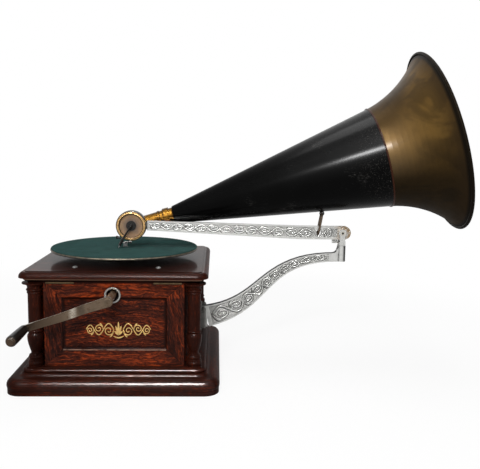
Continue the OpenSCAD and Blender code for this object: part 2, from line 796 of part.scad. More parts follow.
// Bush that carries the spindle in the lid
bush_r = shaft_d / 2 + 4;
bush_flange_r = bush_r + 6;
bush_flange_t = 3;
module spindle_bush() color(brass) rotate_extrude() {
  bore = shaft_d / 2 + run_gap;
  translate([bore, case_top]) square([bush_r - bore, lid_t]);
  translate([bore, lid_top]) square([bush_flange_r - bore, bush_flange_t]);
}

// Brake lever behind the turntable's edge; its pad swings against the rim
brake_r = 3;
brake_deep = 9;
brake_throw = 24;
brake_clear = 1.2;
brake_bar_t = 4;
brake_pad_r = 3;
brake_at = [brake_throw, platter_d / 2 + brake_clear + brake_pad_r];
module brake_hole() translate([brake_at[0], brake_at[1], lid_top - brake_deep])
  cylinder(h = brake_deep + cut, r = brake_r + run_gap);

module brake_lever() color(nickel) translate([brake_at[0], brake_at[1], 0]) {
  bar_low = platter_z - brake_bar_t;
  stem_low = lid_top - brake_deep + free_gap;
  translate([0, 0, stem_low]) cylinder(h = platter_z - stem_low, r = brake_r);
  translate([0, 0, lid_top + free_gap]) cylinder(h = 2, r = brake_r + 2);
  box([-brake_throw, -brake_pad_r + 0.8, bar_low], [brake_throw, brake_pad_r - 0.8, platter_z]);
  translate([-brake_throw, 0, bar_low]) cylinder(h = brake_bar_t + platter_t, r = brake_pad_r);
  translate([brake_throw, 0, bar_low]) cylinder(h = brake_bar_t + 2, r = brake_pad_r);
}

// Speed screw through the back: its pad bears on the rim of the governor's disc
speed_knob_r = 8;
speed_knob_l = 11;
module speed_screw() color(brass) {
  tip = governor_d + governor_disc_r + free_gap;
  y_disc(0, speed_z, tip, case_half + 2, speed_r);
  difference() {
    y_disc(0, speed_z, case_half + free_gap, case_half + free_gap + speed_knob_l, speed_knob_r);
    for (a = [0:24:336]) translate([0, 0, speed_z]) rotate([0, a, 0])
      y_disc(speed_knob_r, 0, case_half, case_half + speed_knob_l + cut, 0.8);
  }
}

// Spring barrel with its toothed great wheel, cap and coiled spring
barrel_floor = gear_t;
spring_t = 1.1;
spring_turns = 7;
spring_in = arbor_d / 2 + 3;
spring_out = drum_r - wall_t - spring_t;
module spring_barrel() color(brass) translate([barrel_at[0], barrel_at[1], great_z]) {
  gear(great_n, great_m, gear_t, arbor_d / 2 + run_gap, great_aim);
  difference() {
    cylinder(h = barrel_h, r = drum_r);
    translate([0, 0, -cut]) cylinder(h = barrel_h + 2 * cut, r = drum_r - wall_t);
  }
}

module barrel_cap() color(brass) translate([barrel_at[0], barrel_at[1], barrel_top]) difference() {
  cylinder(h = cap_t, r = drum_r);
  translate([0, 0, -cut]) cylinder(h = cap_t + 2 * cut, r = arbor_d / 2 + run_gap);
}

spring_steps = 18 * spring_turns;
function coil(i, w) = polar(spring_in + (spring_out - spring_in) * i / spring_steps + w, 20 * i);
module mainspring() color("dimgray") translate([barrel_at[0], barrel_at[1], great_z + barrel_floor])
  linear_extrude(barrel_h - barrel_floor) polygon(concat(
    [for (i = [0:spring_steps]) coil(i, 0)], [for (i = [spring_steps:-1:0]) coil(i, spring_t)]));

// Winding arbor with its bevel wheel, ratchet and click
winding_top = bevel_wheel_z + 2;
ratchet_t = 3;
module winding_arbor() color(steel) translate([barrel_at[0], barrel_at[1], 0]) {
  translate([0, 0, low_z]) cylinder(h = plate_t + cut, r = journal_r);
  translate([0, 0, low_top + free_gap]) cylinder(h = winding_top - low_top - free_gap, r = arbor_d / 2);
}

bevel_wheel_cone = atan(bevel_wheel_n / bevel_pinion_n);
bevel_pinion_cone = 90 - bevel_wheel_cone;
module winding_wheel() color(brass) translate([barrel_at[0], barrel_at[1], 0]) difference() {
  web_low = ratchet_z + ratchet_t;
  union() {
    translate([0, 0, bevel_wheel_z]) rotate(-90 + 180 / bevel_wheel_n)
      linear_extrude(bevel_pinion_r * (1 - bevel_shrink), scale = bevel_shrink)
        bevel_shape(bevel_wheel_n, bevel_wheel_r, bevel_wheel_cone);
    translate([0, 0, web_low]) cylinder(h = bevel_wheel_z - web_low, r = arbor_d / 2 + 5);
    translate([0, 0, bevel_wheel_z - 3]) cylinder(h = 3.01, r = bevel_wheel_r - 5);
  }
  translate([0, 0, web_low - cut]) cylinder(h = crank_z, r = arbor_d / 2);
}

module ratchet_wheel() color(steel) translate([barrel_at[0], barrel_at[1], ratchet_z])
  linear_extrude(ratchet_t) difference() {
    polygon([for (i = [0:ratchet_n - 1], k = [0, 1])
      polar(k == 0 ? ratchet_r : ratchet_r - 3, 360 * (i + (k == 0 ? 0 : 0.06)) / ratchet_n)]);
    circle(arbor_d / 2);
  }

// The click stands just off the ratchet's tips, where it rides while the crank is wound
pawl_pin_r = 2;
pawl_l = 20;
pawl_at = barrel_at + [ratchet_r + 6, pawl_l];
module click_pawl() color(steel) translate([pawl_at[0], pawl_at[1], 0]) {
  nose = [barrel_at[0] + ratchet_r + free_gap, barrel_at[1]] - pawl_at;
  translate([0, 0, ratchet_z]) linear_extrude(ratchet_t) {
    circle(4);
    polygon([nose, nose + [4, 0], [4, 0], [-4, 0]]);
  }
  translate([0, 0, bed_z]) cylinder(h = ratchet_z - bed_z + cut, r = pawl_pin_r);
}

// Middle arbor between barrel and spindle
module middle_arbor() color(steel) translate([middle_at[0], middle_at[1], 0]) {
  translate([0, 0, low_z]) cylinder(h = bed_top - low_z, r = journal_r);
  translate([0, 0, low_top + free_gap]) cylinder(h = great_z - low_top - 1, r = journal_r + 2);
  translate([0, 0, great_z - 1]) gear(middle_pinion_n, great_m, gear_t + 2, journal_r - 0.5,
    great_aim + 180 + 180 / middle_pinion_n);
}

module middle_gear() color(brass) translate([middle_at[0], middle_at[1], middle_gear_z]) {
  hub_gear(middle_n, middle_m, journal_r, middle_aim, 0, gear_t + 2);
}

// Turntable spindle with its pinion
collar_h = 3;
module spindle() color(steel) {
  hub_low = platter_z - platter_hub_h;
  top = felt_top + spindle_up;
  low = low_z - step_h + 2.3;
  seat = felt_top - 0.2;
  translate([0, 0, low]) cylinder(h = seat - low, r = shaft_d / 2);
  translate([0, 0, hub_low - collar_h]) cylinder(h = collar_h, r = shaft_d / 2 + 3);
  translate([0, 0, seat]) cylinder(h = top - seat - 1, r = spindle_d / 2);
  translate([0, 0, top - 1]) cylinder(h = 1, r1 = spindle_d / 2, r2 = spindle_d / 2 - 1);
  translate([0, 0, middle_gear_z - 1]) gear(spindle_pinion_n, middle_m, gear_t + 2, shaft_d / 2 - 0.5,
    middle_aim + 180 + 180 / spindle_pinion_n);
}

module spindle_gear() color(brass) translate([0, 0, spindle_gear_z]) {
  hub_gear(spindle_n, governor_m, shaft_d / 2, 90, -3, gear_t);
}

// Governor: three weights on bowed springs between two collars, and a friction disc
governor_shaft_r = 2.5;
governor_collar_r = 5;
governor_collar_h = 6;
spring_w = 5;
spring_strip = 0.8;
module at_governor() translate([governor_at[0], governor_at[1], 0]) children();

module governor_shaft() color(steel) at_governor() {
  translate([0, 0, low_z]) cylinder(h = plate_t + cut, r = governor_journal_r);
  translate([0, 0, low_top + free_gap]) cylinder(h = spindle_gear_z - low_top, r = governor_shaft_r);
  for (z = [governor_low, governor_high - governor_collar_h])
    translate([0, 0, z]) cylinder(h = governor_collar_h, r = governor_collar_r);
  translate([0, 0, spindle_gear_z - 1])
    gear(governor_pinion_n, governor_m, gear_t + 2, governor_shaft_r - 0.5, -90 + 180 / governor_pinion_n);
}

governor_mid = (governor_low + governor_high) / 2;
module governor_springs() color("silver") at_governor() for (a = [60:120:300]) rotate(a)
  translate([0, spring_w / 2, 0]) rotate([90, 0, 0]) linear_extrude(spring_w) {
    inner = governor_collar_r;
    bow = governor_bow;
    w = spring_strip;
    low = governor_low;
    high = governor_high;
    flat = weight_r;
    polygon([[inner, low], [inner + w, low], [inner + w, low + 6], [bow + w, governor_mid - flat],
      [bow + w, governor_mid + flat], [inner + w, high - 6], [inner + w, high], [inner, high],
      [inner, high - 6.3], [bow, governor_mid + flat - 0.2], [bow, governor_mid - flat + 0.2],
      [inner, low + 6.3]]);
  }

module governor_weights() color(brass) at_governor() for (a = [60:120:300]) rotate(a)
  translate([governor_bow + spring_strip, 0, governor_mid]) rotate([0, 90, 0])
    cylinder(h = weight_l, r = weight_r);

module governor_disc() color(brass) at_governor() translate([0, 0, governor_disc_z]) difference() {
  union() {
    cylinder(h = 4, r = governor_disc_r);
    cylinder(h = governor_low - governor_disc_z, r = governor_collar_r);
  }
  translate([0, 0, -cut]) cylinder(h = governor_low, r = governor_shaft_r);
}

// Crank: shaft with the bevel pinion, flat arm with the grip's pin, and the grip
crank_end = -barrel_axis - bevel_wheel_r * bevel_shrink;
module crank_shaft() color(steel) {
  y_disc(crank_x, crank_z, crank_y, crank_end - 1, crank_d / 2);
  translate([crank_x, -barrel_axis - bevel_wheel_r, crank_z]) rotate([-90, 0, 0])
    linear_extrude(bevel_wheel_r * (1 - bevel_shrink), scale = bevel_shrink) rotate(90)
      bevel_shape(bevel_pinion_n, bevel_pinion_r, bevel_pinion_cone);
}

crank_hub_r = crank_d / 2 + 1.6;
crank_tail_r = 5.2;
crank_joggle = 9;
grip_pin_r = 2.5;
grip_start = crank_y - crank_joggle - crank_bar_t - 0.5;
grip_end = grip_start - grip_l;
module crank_bar() {
  hub = [crank_x, crank_z];
  d = (grip_at - hub) / norm(grip_at - hub);
  side = [-d[1], d[0]];
  translate(hub) circle(crank_hub_r);
  translate(grip_at) circle(crank_tail_r);
  polygon([hub + crank_hub_r * side, hub - crank_hub_r * side,
    grip_at - crank_tail_r * side, grip_at + crank_tail_r * side]);
}

// The arm is set forward by a joggle half way along
// The bar's bend towards the front, drawn along the bar: depth of its back at a share of the throw
bend_from = 0.24;
bend_to = 0.56;
function bend(share) = let (t = min(1, max(0, (share - bend_from) / (bend_to - bend_from))))
  crank_joggle * t * t * (3 - 2 * t);
module bent_bar() translate([crank_x, crank_y, crank_z]) rotate([0, 180 - crank_fall, 0])
  linear_extrude(4 * crank_hub_r, center = true) {
    shares = concat([-0.2], [for (i = [0:10]) bend_from + (bend_to - bend_from) * i / 10], [1.2]);
    polygon(concat([for (s = shares) [s * crank_throw, -bend(s)]],
      [for (i = [len(shares) - 1:-1:0]) [shares[i] * crank_throw, -bend(shares[i]) - crank_bar_t]]));
  }

module crank_arm() color(nickel) {
  front = crank_y - crank_joggle;
  intersection() {
    upright(front - crank_bar_t - cut, crank_y + cut) crank_bar();
    bent_bar();
  }
  y_disc(crank_x, crank_z, crank_y - crank_bar_t - 1, crank_y - crank_bar_t + cut, crank_d / 2 - 1);
  y_disc(grip_at[0], grip_at[1], grip_end - 1.6, front - cut, grip_pin_r);
  y_disc(grip_at[0], grip_at[1], grip_end - 1.6, grip_end - free_gap, grip_pin_r + 2.2);
}

module crank_grip() color(black) translate([grip_at[0], grip_start, grip_at[1]]) rotate([90, 0, 0])
  rotate_extrude() difference() {
    polygon(concat([[0, 0], [grip_r - 1.6, 0], [grip_r - 1.2, 2]],
      [for (i = [0:8]) [grip_r - 1.2 + 1.2 * sin(i * 11.25), 2 + (grip_l - 8) * i / 8]],
      arc([grip_r - 6, grip_l - 6], 6, 0, 80), [[0, grip_l]]));
    translate([0, -cut]) square([grip_pin_r + run_gap, grip_l + 2 * cut]);
  }

// Turntable
platter_hub_r = 16;
module platter() color(nickel) rotate_extrude() difference() {
  union() {
    square_edge = platter_d / 2 - platter_t / 2;
    translate([0, platter_z]) square([square_edge, platter_t]);
    translate([square_edge, platter_z + platter_t / 2]) circle(platter_t / 2);
    translate([0, platter_z - platter_hub_h]) square([platter_hub_r, platter_hub_h + 0.01]);
  }
  translate([-cut, platter_z - platter_hub_h - cut])
    square([shaft_d / 2 + cut, platter_t + platter_hub_h + 3 * cut]);
}

module felt_mat() color([0.07, 0.2, 0.18]) translate([0, 0, felt_z]) difference() {
  cylinder(h = felt_t, r = platter_d / 2 - 1);
  translate([0, 0, -cut]) cylinder(h = felt_t + 2 * cut, r = shaft_d / 2);
}

// Yoke that turns in the bracket's socket and holds the arm's pin
eye_half = 6.6;
tine_half = 4.6;
bridge_half = collar_r * 0.75;
module yoke() color(nickel) difference() {
  union() {
    translate([pivot_x, 0, socket_low + 1]) cylinder(h = yoke_foot - socket_low, r = stem_d / 2);
    translate([pivot_x, 0, yoke_foot + free_gap])
      cylinder(h = yoke_seat - yoke_foot - free_gap, r = collar_r);
    box([pivot_x - bridge_half, -tine_out, yoke_seat - 5], [pivot_x + bridge_half, tine_out, yoke_seat]);
    for (s = [-1, 1]) {
      y0 = s > 0 ? tine_in : -tine_out;
      box([pivot_x - tine_half, y0, yoke_seat - 3], [pivot_x + tine_half, y0 + tine_t, pin_z]);
      y_disc(pivot_x, pin_z, y0, y0 + tine_t, eye_half);
    }
  }
  y_disc(pivot_x, pin_z, -tine_out - cut, tine_out + cut, arm_pin_d / 2);
}

module yoke_pin() color(steel) {
  y_disc(pivot_x, pin_z, -tine_out, tine_out, arm_pin_d / 2);
  for (y = [-tine_out - 1, tine_out]) y_disc(pivot_x, pin_z, y, y + 1, arm_pin_d / 2 + 0.8);
}

// Travelling arm: a tapered casting with sunk faces, round behind the pin
arm_half = arm_root_h / 2;
function arm_taper(x) = max(0, (arm_level_x - x) / (arm_level_x - arm_left));
function arm_middle(x) = pin_z + (arm_tip_z - pin_z) * arm_taper(x);
function arm_half_at(x) = arm_half + (arm_tip_h / 2 - arm_half) * arm_taper(x);
function arm_top(x) = arm_middle(x) + arm_half_at(x);
function arm_low(x) = arm_middle(x) - arm_half_at(x);
module arm_field(from, to, inset) polygon([[from, arm_low(from) + inset], [to, arm_low(to) + inset],
  [to, arm_top(to) - inset], [from, arm_top(from) - inset]]);

lug_l = 9;
lug_h = 6.5;
module travelling_arm() color(nickel) difference() {
  border = 2.4;
  sunk = 0.9;
  half = arm_t / 2;
  lug_right = pivot_x - collar_r - 0.5;
  union() {
    upright(-half, half) {
      xs = [arm_left, arm_level_x, arm_end_x];
      polygon(concat([for (x = xs) [x, arm_low(x)]], [for (i = [2:-1:0]) [xs[i], arm_top(xs[i])]]));
      translate([arm_end_x, pin_z]) circle(arm_half);
    }
    box([lug_right - lug_l, -half + 2, pin_z - arm_half - lug_h], [lug_right, half - 2, pin_z]);
  }
  y_disc(pivot_x, pin_z, -half - cut, half + cut, arm_pin_d / 2 + run_gap);
  y_disc(bail_x, bail_hole_z, -half - cut, half + cut, bail_hole_r);
  for (s = [-1, 1]) upright(s > 0 ? half - sunk : -half - cut, s > 0 ? half + cut : -half + sunk) {
    arm_field(s > 0 ? clip_at[0] + clip_pad + 4 : arm_left + 3, bail_x - bail_hole_r - 3, border);
    arm_field(bail_x + bail_hole_r + 3, pivot_x - eye_half - 2, border + 1.6);
  }
}

// Wire bail that holds the horn up over the arm
bail_hole_z = pin_z - 0.6;
module horn_bail() color([0.3, 0.26, 0.2]) translate([bail_x, 0, bail_low]) rotate([0, bail_lean, 0]) {
  for (s = [-1, 1]) translate([0, s * bail_half, 0]) cylinder(h = bail_l, r = bail_r);
  rotate([0, 90, 0]) rotate(-90) rotate_extrude(angle = 180) translate([bail_half, 0]) circle(bail_r);
  translate([0, 0, bail_l]) rotate([0, 90, 0]) rotate(90) rotate_extrude(angle = 180)
    translate([bail_half, 0]) circle(bail_r);
}

// Horn: everything along its axis is drawn along Z from the cone's small end
module at_horn() translate(horn_tip) rotate([0, 90 - horn_tilt, -horn_turn]) children();
horn_dir = [cos(horn_tilt) * cos(horn_turn), -cos(horn_tilt) * sin(horn_turn), sin(horn_tilt)];
elbow_at = horn_tip - horn_dir * (horn_tip[0] - soundbox_x) / horn_dir[0];
elbow_len = norm(horn_tip - elbow_at);
spigot_l = horn_t;
soundbox_back = soundbox_at[1] + soundbox_t / 2;

// The elbow's outer form, or with a skin the hollow inside it: a tapered tube along the horn
// with a ferrule, a ball behind the soundbox and a tube from the ball to the soundbox
function elbow_at_s(s) = elbow_r0 + (elbow_r1 - elbow_r0) * (s + elbow_len) / elbow_len;
module elbow_body(skin, ferrule) {
  end = spigot_l + (skin > 0 ? cut : 0);
  from = -ferrule_s;
  to = ferrule_l - ferrule_s;
  rim = elbow_r1 + 0.4;
  step = ferrule ? [[elbow_at_s(from), from], [rim, from], [rim, to], [elbow_at_s(to), to]] : [];
  at_horn() rotate_extrude() polygon(concat([[0, -elbow_len], [elbow_r0 - skin, -elbow_len]], step,
    [[elbow_r1 - skin, 0], [elbow_r1 - skin, end], [0, end]]));
  translate(elbow_at + [0, 0, 1.2]) sphere(elbow_ball_r - skin);
  y_disc(soundbox_x, soundbox_at[2], soundbox_back - (skin > 0 ? cut : 0), elbow_at[1], throat_r - skin);
}

module horn_elbow() color(brass) difference() {
  elbow_body(0, true);
  elbow_body(elbow_wall, false);
}

ferrule_s = 28;
ferrule_l = 3;
clip_s = 18;
clip_l = 10;
clip_wall = 2;
clip_at = horn_tip - horn_dir * (clip_s - clip_l / 2);
clip_pad = clip_l / 2 + 1;
module horn_clip() color(nickel) difference() {
  pad_top = arm_top(clip_at[0]) - 1;
  union() {
    at_horn() translate([0, 0, -clip_s]) cylinder(h = clip_l, r = elbow_r1 + clip_wall);
    box([clip_at[0] - clip_pad, arm_t / 2, pad_top - 11], [clip_at[0] + clip_pad, clip_at[1] - 4, pad_top]);
  }
  elbow_body(0, false);
}

module horn_cone() color(black) {
  wall = horn_t / cos(atan(horn_slope));
  at_horn() rotate_extrude() {
    polygon([[elbow_r1, 0], [cone_r0, 0], [cone_r1, cone_l], [cone_r1 - wall, cone_l],
      [cone_r0 - wall + horn_slope * horn_t, horn_t], [elbow_r1, horn_t]]);
    translate([cone_r1 - 0.2, cone_l - seam_r]) circle(seam_r);
  }
  difference() {
    translate([eye_x, 0, eye_z]) rotate([90, 0, 0]) rotate_extrude()
      translate([eye_r, 0]) circle(eye_wire);
    at_horn() cylinder(h = cone_l, r1 = cone_r0 - wall / 2, r2 = cone_r1 - wall / 2);
  }
}

// The bell's outline is one arc that leaves the cone gently and flares to the mouth
bell_mouth_r = bell_r - rim_r;
bell_chord = [bell_l, bell_mouth_r - cone_r1];
bell_from = atan2(bell_chord[1], bell_chord[0]) - bell_turn / 2;
bell_curve = norm(bell_chord) / (2 * sin(bell_turn / 2));
function bell_at(a, skin) = [cone_r1 + bell_curve * (cos(bell_from) - cos(a)) - skin * cos(a),
  cone_l + bell_curve * (sin(a) - sin(bell_from)) + skin * sin(a)];
module horn_bell() color(old_brass) at_horn() rotate_extrude() {
  n = 14;
  polygon(concat([for (i = [0:n]) bell_at(bell_from + bell_turn * i / n, 0)],
    [for (i = [n:-1:1]) bell_at(bell_from + bell_turn * i / n, horn_t)], [[cone_r1 - horn_t, cone_l]]));
  translate([bell_mouth_r, cone_l + bell_l]) circle(rim_r);
}

// Soundbox: drawn along Z from its back, facing the crank's side
module at_soundbox() translate([soundbox_x, soundbox_back, soundbox_at[2]]) rotate([90, 0, 0]) children();
soundbox_floor = 3;
shelf_z = soundbox_t - 4.4;
ring_out = diaphragm_r + 3.3;
diaphragm_t = 0.8;
module soundbox() color(black) at_soundbox() rotate_extrude() difference() {
  union() {
    square([soundbox_r - 1.5, soundbox_t]);
    translate([0, 1.5]) square([soundbox_r, soundbox_t - 3]);
    for (z = [1.5, soundbox_t - 1.5]) translate([soundbox_r - 1.5, z]) circle(1.5);
  }
  translate([-cut, -cut]) square([throat_r - elbow_wall + cut, soundbox_floor + 2 * cut]);
  translate([-cut, soundbox_floor]) square([diaphragm_r + 0.5 + cut, soundbox_t]);
  translate([-cut, shelf_z]) square([ring_out + cut, soundbox_t]);
}

module soundbox_ring() color(brass) at_soundbox() rotate_extrude() {
  low = shelf_z + diaphragm_t;
  translate([diaphragm_r, low]) square([ring_out - diaphragm_r, soundbox_t - low]);
  translate([(diaphragm_r + ring_out) / 2, soundbox_t]) circle((ring_out - diaphragm_r) / 2 - 0.3);
}

module diaphragm() color([0.62, 0.5, 0.33]) at_soundbox() translate([0, 0, shelf_z])
  cylinder(h = diaphragm_t, r = ring_out);

// Needle bar from the diaphragm's middle to the needle's chuck, with its pivot screw
bar_y = soundbox_back - soundbox_t - 4;
bar_disc_r = 8.6;
tip_z = felt_top + free_gap;
tip_at = [-needle_off, bar_y, tip_z];
chuck_low = tip_at + [2, 0, 4.2];
chuck_high = tip_at + [7.2, 0, 15.2];
chuck_r = 2.5;
needle_r = 0.8;
pivot_knob_at = tip_at + [-1.6, 3, 17.4];
bar_foot = [soundbox_x, soundbox_back - shelf_z - diaphragm_t, soundbox_at[2]];
screw_at = chuck_low + (chuck_high - chuck_low) * 0.42;
screw_dir = [17, 0, 2] / norm([17, 0, 2]);
screw_r = 1.2;
screw_l = 15;
module needle_bar() color(black) difference() {
  union() {
    rod(bar_foot, bar_foot - [0, 1.2, 0], bar_disc_r);
    rod(bar_foot, [bar_foot[0], bar_y, bar_foot[2]], 2.4);
    translate([bar_foot[0], bar_y, bar_foot[2]]) sphere(2.4);
    rod([bar_foot[0], bar_y, bar_foot[2]], chuck_high, 1.5);
    translate(chuck_high) sphere(chuck_r);
    rod(chuck_high, chuck_low, chuck_r);
    rod(chuck_high, pivot_knob_at, 1.2);
    rod(pivot_knob_at, pivot_knob_at + (pivot_knob_at - chuck_high) * 0.3, 2.6);
  }
  rod(tip_at, chuck_high, needle_r);
  rod(screw_at, screw_at + 10 * screw_dir, screw_r + run_gap);
}

module needle() color(steel) {
  d = chuck_high - tip_at;
  l = norm(d) - 1;
  translate(tip_at) rotate([0, acos(d[2] / norm(d)), atan2(d[1], d[0])]) rotate_extrude()
    polygon([[0, 0], [0.2, 0], [needle_r, 3], [needle_r, l], [0, l]]);
}

module needle_screw() color(nickel) {
  start = screw_at + (needle_r + screw_r) * screw_dir;
  head = screw_at + screw_l * screw_dir;
  rod(start, head, screw_r);
  rod(head - 0.5 * screw_dir, head + 3 * screw_dir, 2.6);
}

base_moulding();
bottom_board();
front_frame();
back_frame();
left_frame();
right_frame();
front_panel();
back_panel();
side_panels();
corner_posts();
corner_columns();
lid_board();
lid_moulding();
hinge_case_leaves();
hinge_lid_leaves();
hanger_bolts();
crank_escutcheon();
bracket_socket();
socket_screws();
bracket();
bedplate();
lower_plate();
motor_pillars();
spindle_bush();
brake_lever();
speed_screw();
spring_barrel();
barrel_cap();
mainspring();
winding_arbor();
winding_wheel();
ratchet_wheel();
click_pawl();
middle_arbor();
middle_gear();
spindle();
spindle_gear();
governor_shaft();
governor_weights();
governor_springs();
governor_disc();
crank_shaft();
crank_arm();
crank_grip();
platter();
felt_mat();
yoke();
yoke_pin();
travelling_arm();
horn_bail();
horn_clip();
horn_elbow();
horn_cone();
horn_bell();
soundbox();
soundbox_ring();
diaphragm();
needle_bar();
needle();
needle_screw();
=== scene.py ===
"""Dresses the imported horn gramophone: finishes, cast ornament, felt, studio stage and camera."""

import json
import math

import bmesh
import bpy
from bpy.props import FloatProperty, FloatVectorProperty, IntProperty, PointerProperty
from mathutils import Matrix, Vector


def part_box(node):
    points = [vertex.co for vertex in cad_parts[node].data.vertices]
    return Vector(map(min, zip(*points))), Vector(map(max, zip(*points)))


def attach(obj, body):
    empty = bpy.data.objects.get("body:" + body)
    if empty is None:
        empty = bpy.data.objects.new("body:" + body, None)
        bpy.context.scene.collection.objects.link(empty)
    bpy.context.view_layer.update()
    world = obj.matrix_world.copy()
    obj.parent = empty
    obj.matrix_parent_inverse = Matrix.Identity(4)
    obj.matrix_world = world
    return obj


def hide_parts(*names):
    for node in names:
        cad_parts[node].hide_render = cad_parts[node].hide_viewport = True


bl_info = {
    "name": "Horn Gramophone",
    "version": (1, 0, 0),
    "blender": (4, 5, 0),
    "location": "View3D > Sidebar > Gramophone",
    "description": "Finishes, ornament and a studio stage for a jointed horn gramophone",
    "category": "Object",
}

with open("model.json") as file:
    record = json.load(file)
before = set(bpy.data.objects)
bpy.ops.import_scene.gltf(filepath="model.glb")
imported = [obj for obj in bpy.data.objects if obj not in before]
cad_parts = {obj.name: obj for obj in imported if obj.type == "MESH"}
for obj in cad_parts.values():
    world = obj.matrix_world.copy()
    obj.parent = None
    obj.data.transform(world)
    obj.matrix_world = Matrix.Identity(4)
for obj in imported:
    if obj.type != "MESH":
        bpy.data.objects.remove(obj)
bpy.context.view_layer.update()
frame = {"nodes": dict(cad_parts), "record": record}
MM = 0.001

# Places and sizes of the part at rest, in millimetres: X to the right, Y to the back, Z up.
# SEAM, MOUTH and CREASES lie along the horn's axis from HORN_TIP, and CRANK_BEND along the crank's arm.
# ARM_FIELDS has the left end of the sunk field on the arm's front (-1) and back (1).
PANEL_TONGUE = 5
LID_BEAD_RISE = 7.0
PIVOT_X, PIN_Z = 381.6, 237.9
CRANK_X, CRANK_Z = -2.5, 152.5
CRANK_FALL = math.radians(18)
CRANK_BEND = 54
GRIP_X, GRIP_Z = -124.7, 112.8
SOUNDBOX_X, SOUNDBOX_Z = 12.4, 248.4
FELT_HOLE = 4.7
HORN_TIP = Vector((83.7, 22.0, 264.5))
HORN_TILT = math.radians(16.35)
HORN_TURN = math.radians(2.6)
HORN_AXIS = Vector((math.cos(HORN_TILT) * math.cos(HORN_TURN),
                    -math.cos(HORN_TILT) * math.sin(HORN_TURN),
                    math.sin(HORN_TILT)))
SEAM = 376.0
MOUTH = SEAM + 104.0
CREASES = ((-28.3, 0.9), (-24.6, 0.9), (-17.4, 0.8))
ARM_HALF, ARM_SUNK = 5.0, 0.9
ARM_LEFT, ARM_LEVEL = 38.7, 306.6
ARM_RISE, ARM_HALF_HEIGHT, ARM_NARROWING = 9.6, 11.7, 3.3
ARM_FIELDS = {-1: 43.5, 1: 84.0}
ARM_FIELD_END = 330
ARM_END_FIELD = (350, 364)
ARM_WORN = (360, 386)
BAIL_X, BAIL_Z = 340.1, 237.3
BAIL_RING_R = 6.2
BRACKET_HALF, BRACKET_SUNK = 6.0, 1.0
SOCKET_LEFT, SOCKET_LOW = PIVOT_X - 8, 213
BOW_END_HEIGHT, BOW_GROWTH = 7.6, 11.4
BOW_FOOT = Vector((144.4, 86.0))
BOW_LEAN = math.radians(11.3)
BOW = [BOW_FOOT, BOW_FOOT + 112 * Vector((math.cos(BOW_LEAN), math.sin(BOW_LEAN))),
       Vector((237.0, 194.5)), Vector((375.0, 194.5))]
GILT_X, GILT_Z = 5.6, 95.5


def tint(red, green, blue):
    """A linear colour from the 0 to 255 values that a screen shows."""
    parts = [c / 255 for c in (red, green, blue)]
    return tuple(c / 12.92 if c <= 0.04045 else ((c + 0.055) / 1.055) ** 2.4 for c in parts)


def dim(colour, share):
    """A colour made darker, or brighter with a share above 1."""
    return [c * share for c in colour]


def colour_prop(name, text, default):
    return FloatVectorProperty(name=name, description=text, subtype="COLOR", size=3, min=0, max=1,
                               default=default)


def share_prop(name, text, default):
    return FloatProperty(name=name, description=text, subtype="FACTOR", min=0, max=1, default=default)


def size_prop(name, text, millimetres):
    return FloatProperty(name=name, description=text, unit="LENGTH", min=0, default=millimetres * MM)


def count_prop(name, text, default, low, high):
    return IntProperty(name=name, description=text, min=low, max=high, default=default)


def power_prop(name, text, default):
    return FloatProperty(name=name, description=text, unit="POWER", min=0, default=default)


class OakSettings(bpy.types.PropertyGroup):
    """Stained and varnished oak of the case."""

    dark: colour_prop("Dark", "Colour of the stained ground", tint(46, 19, 12))
    mid: colour_prop("Mid", "Colour of the open grain", tint(82, 33, 18))
    flame: colour_prop("Flame", "Colour of the quarter-sawn figure", tint(176, 70, 29))
    figure: share_prop("Figure", "Strength of the flame figure", 0.85)
    varnish: share_prop("Varnish", "Weight of the varnish coat", 0.3)


class MetalSettings(bpy.types.PropertyGroup):
    """Plated, lacquered and bare metals."""

    nickel: colour_prop("Nickel", "Bright nickel plate", tint(197, 197, 194))
    pewter: colour_prop("Recess", "Dull metal in the recesses of the castings", tint(154, 154, 151))
    crank: colour_prop("Crank", "Worn nickel of the crank", tint(86, 73, 60))
    steel: colour_prop("Steel", "Steel of the motor", tint(176, 176, 176))
    brass: colour_prop("Brass", "Brass of the motor's wheels", tint(178, 142, 84))
    lacquer: colour_prop("Lacquer", "Gold lacquer of the horn's connector", tint(112, 79, 27))
    bell: colour_prop("Bell", "Brown patina of the bell", tint(94, 71, 35))
    wire: colour_prop("Wire", "Tarnished wire of the bail", tint(88, 74, 60))


class FeltSettings(bpy.types.PropertyGroup):
    """Felt of the turntable."""

    colour: colour_prop("Colour", "Colour of the felt", tint(31, 63, 60))
    rings: count_prop("Rings", "Rings of faces across the felt", 40, 8, 120)
    ripple: size_prop("Ripple", "Unevenness of the felt", 0.12)


class OrnamentSettings(bpy.types.PropertyGroup):
    """Cast scrolls on arm and bracket, and the gilt scroll on the front."""

    stem: size_prop("Stem", "Width of the cast stem", 2.2)
    line: size_prop("Line", "Dark line left beside the scrolls", 1.5)
    relief: size_prop("Relief", "Height of the cast scrolls", 0.8)
    arm_scrolls: count_prop("Arm scrolls", "Scrolls along the arm", 13, 4, 30)
    bracket_scrolls: count_prop("Bracket scrolls", "Scrolls along the bracket", 10, 4, 30)
    gilt: colour_prop("Gilt", "Gold paint of the front ornament", tint(206, 168, 92))
    gilt_width: size_prop("Gilt width", "Width of the front ornament", 104)
    gilt_height: size_prop("Gilt height", "Height of the front ornament", 29)
    gilt_stroke: size_prop("Gilt stroke", "Width of the front ornament's strokes", 1.5)
    gilt_relief: size_prop("Gilt relief", "Thickness of the gold paint", 0.12)


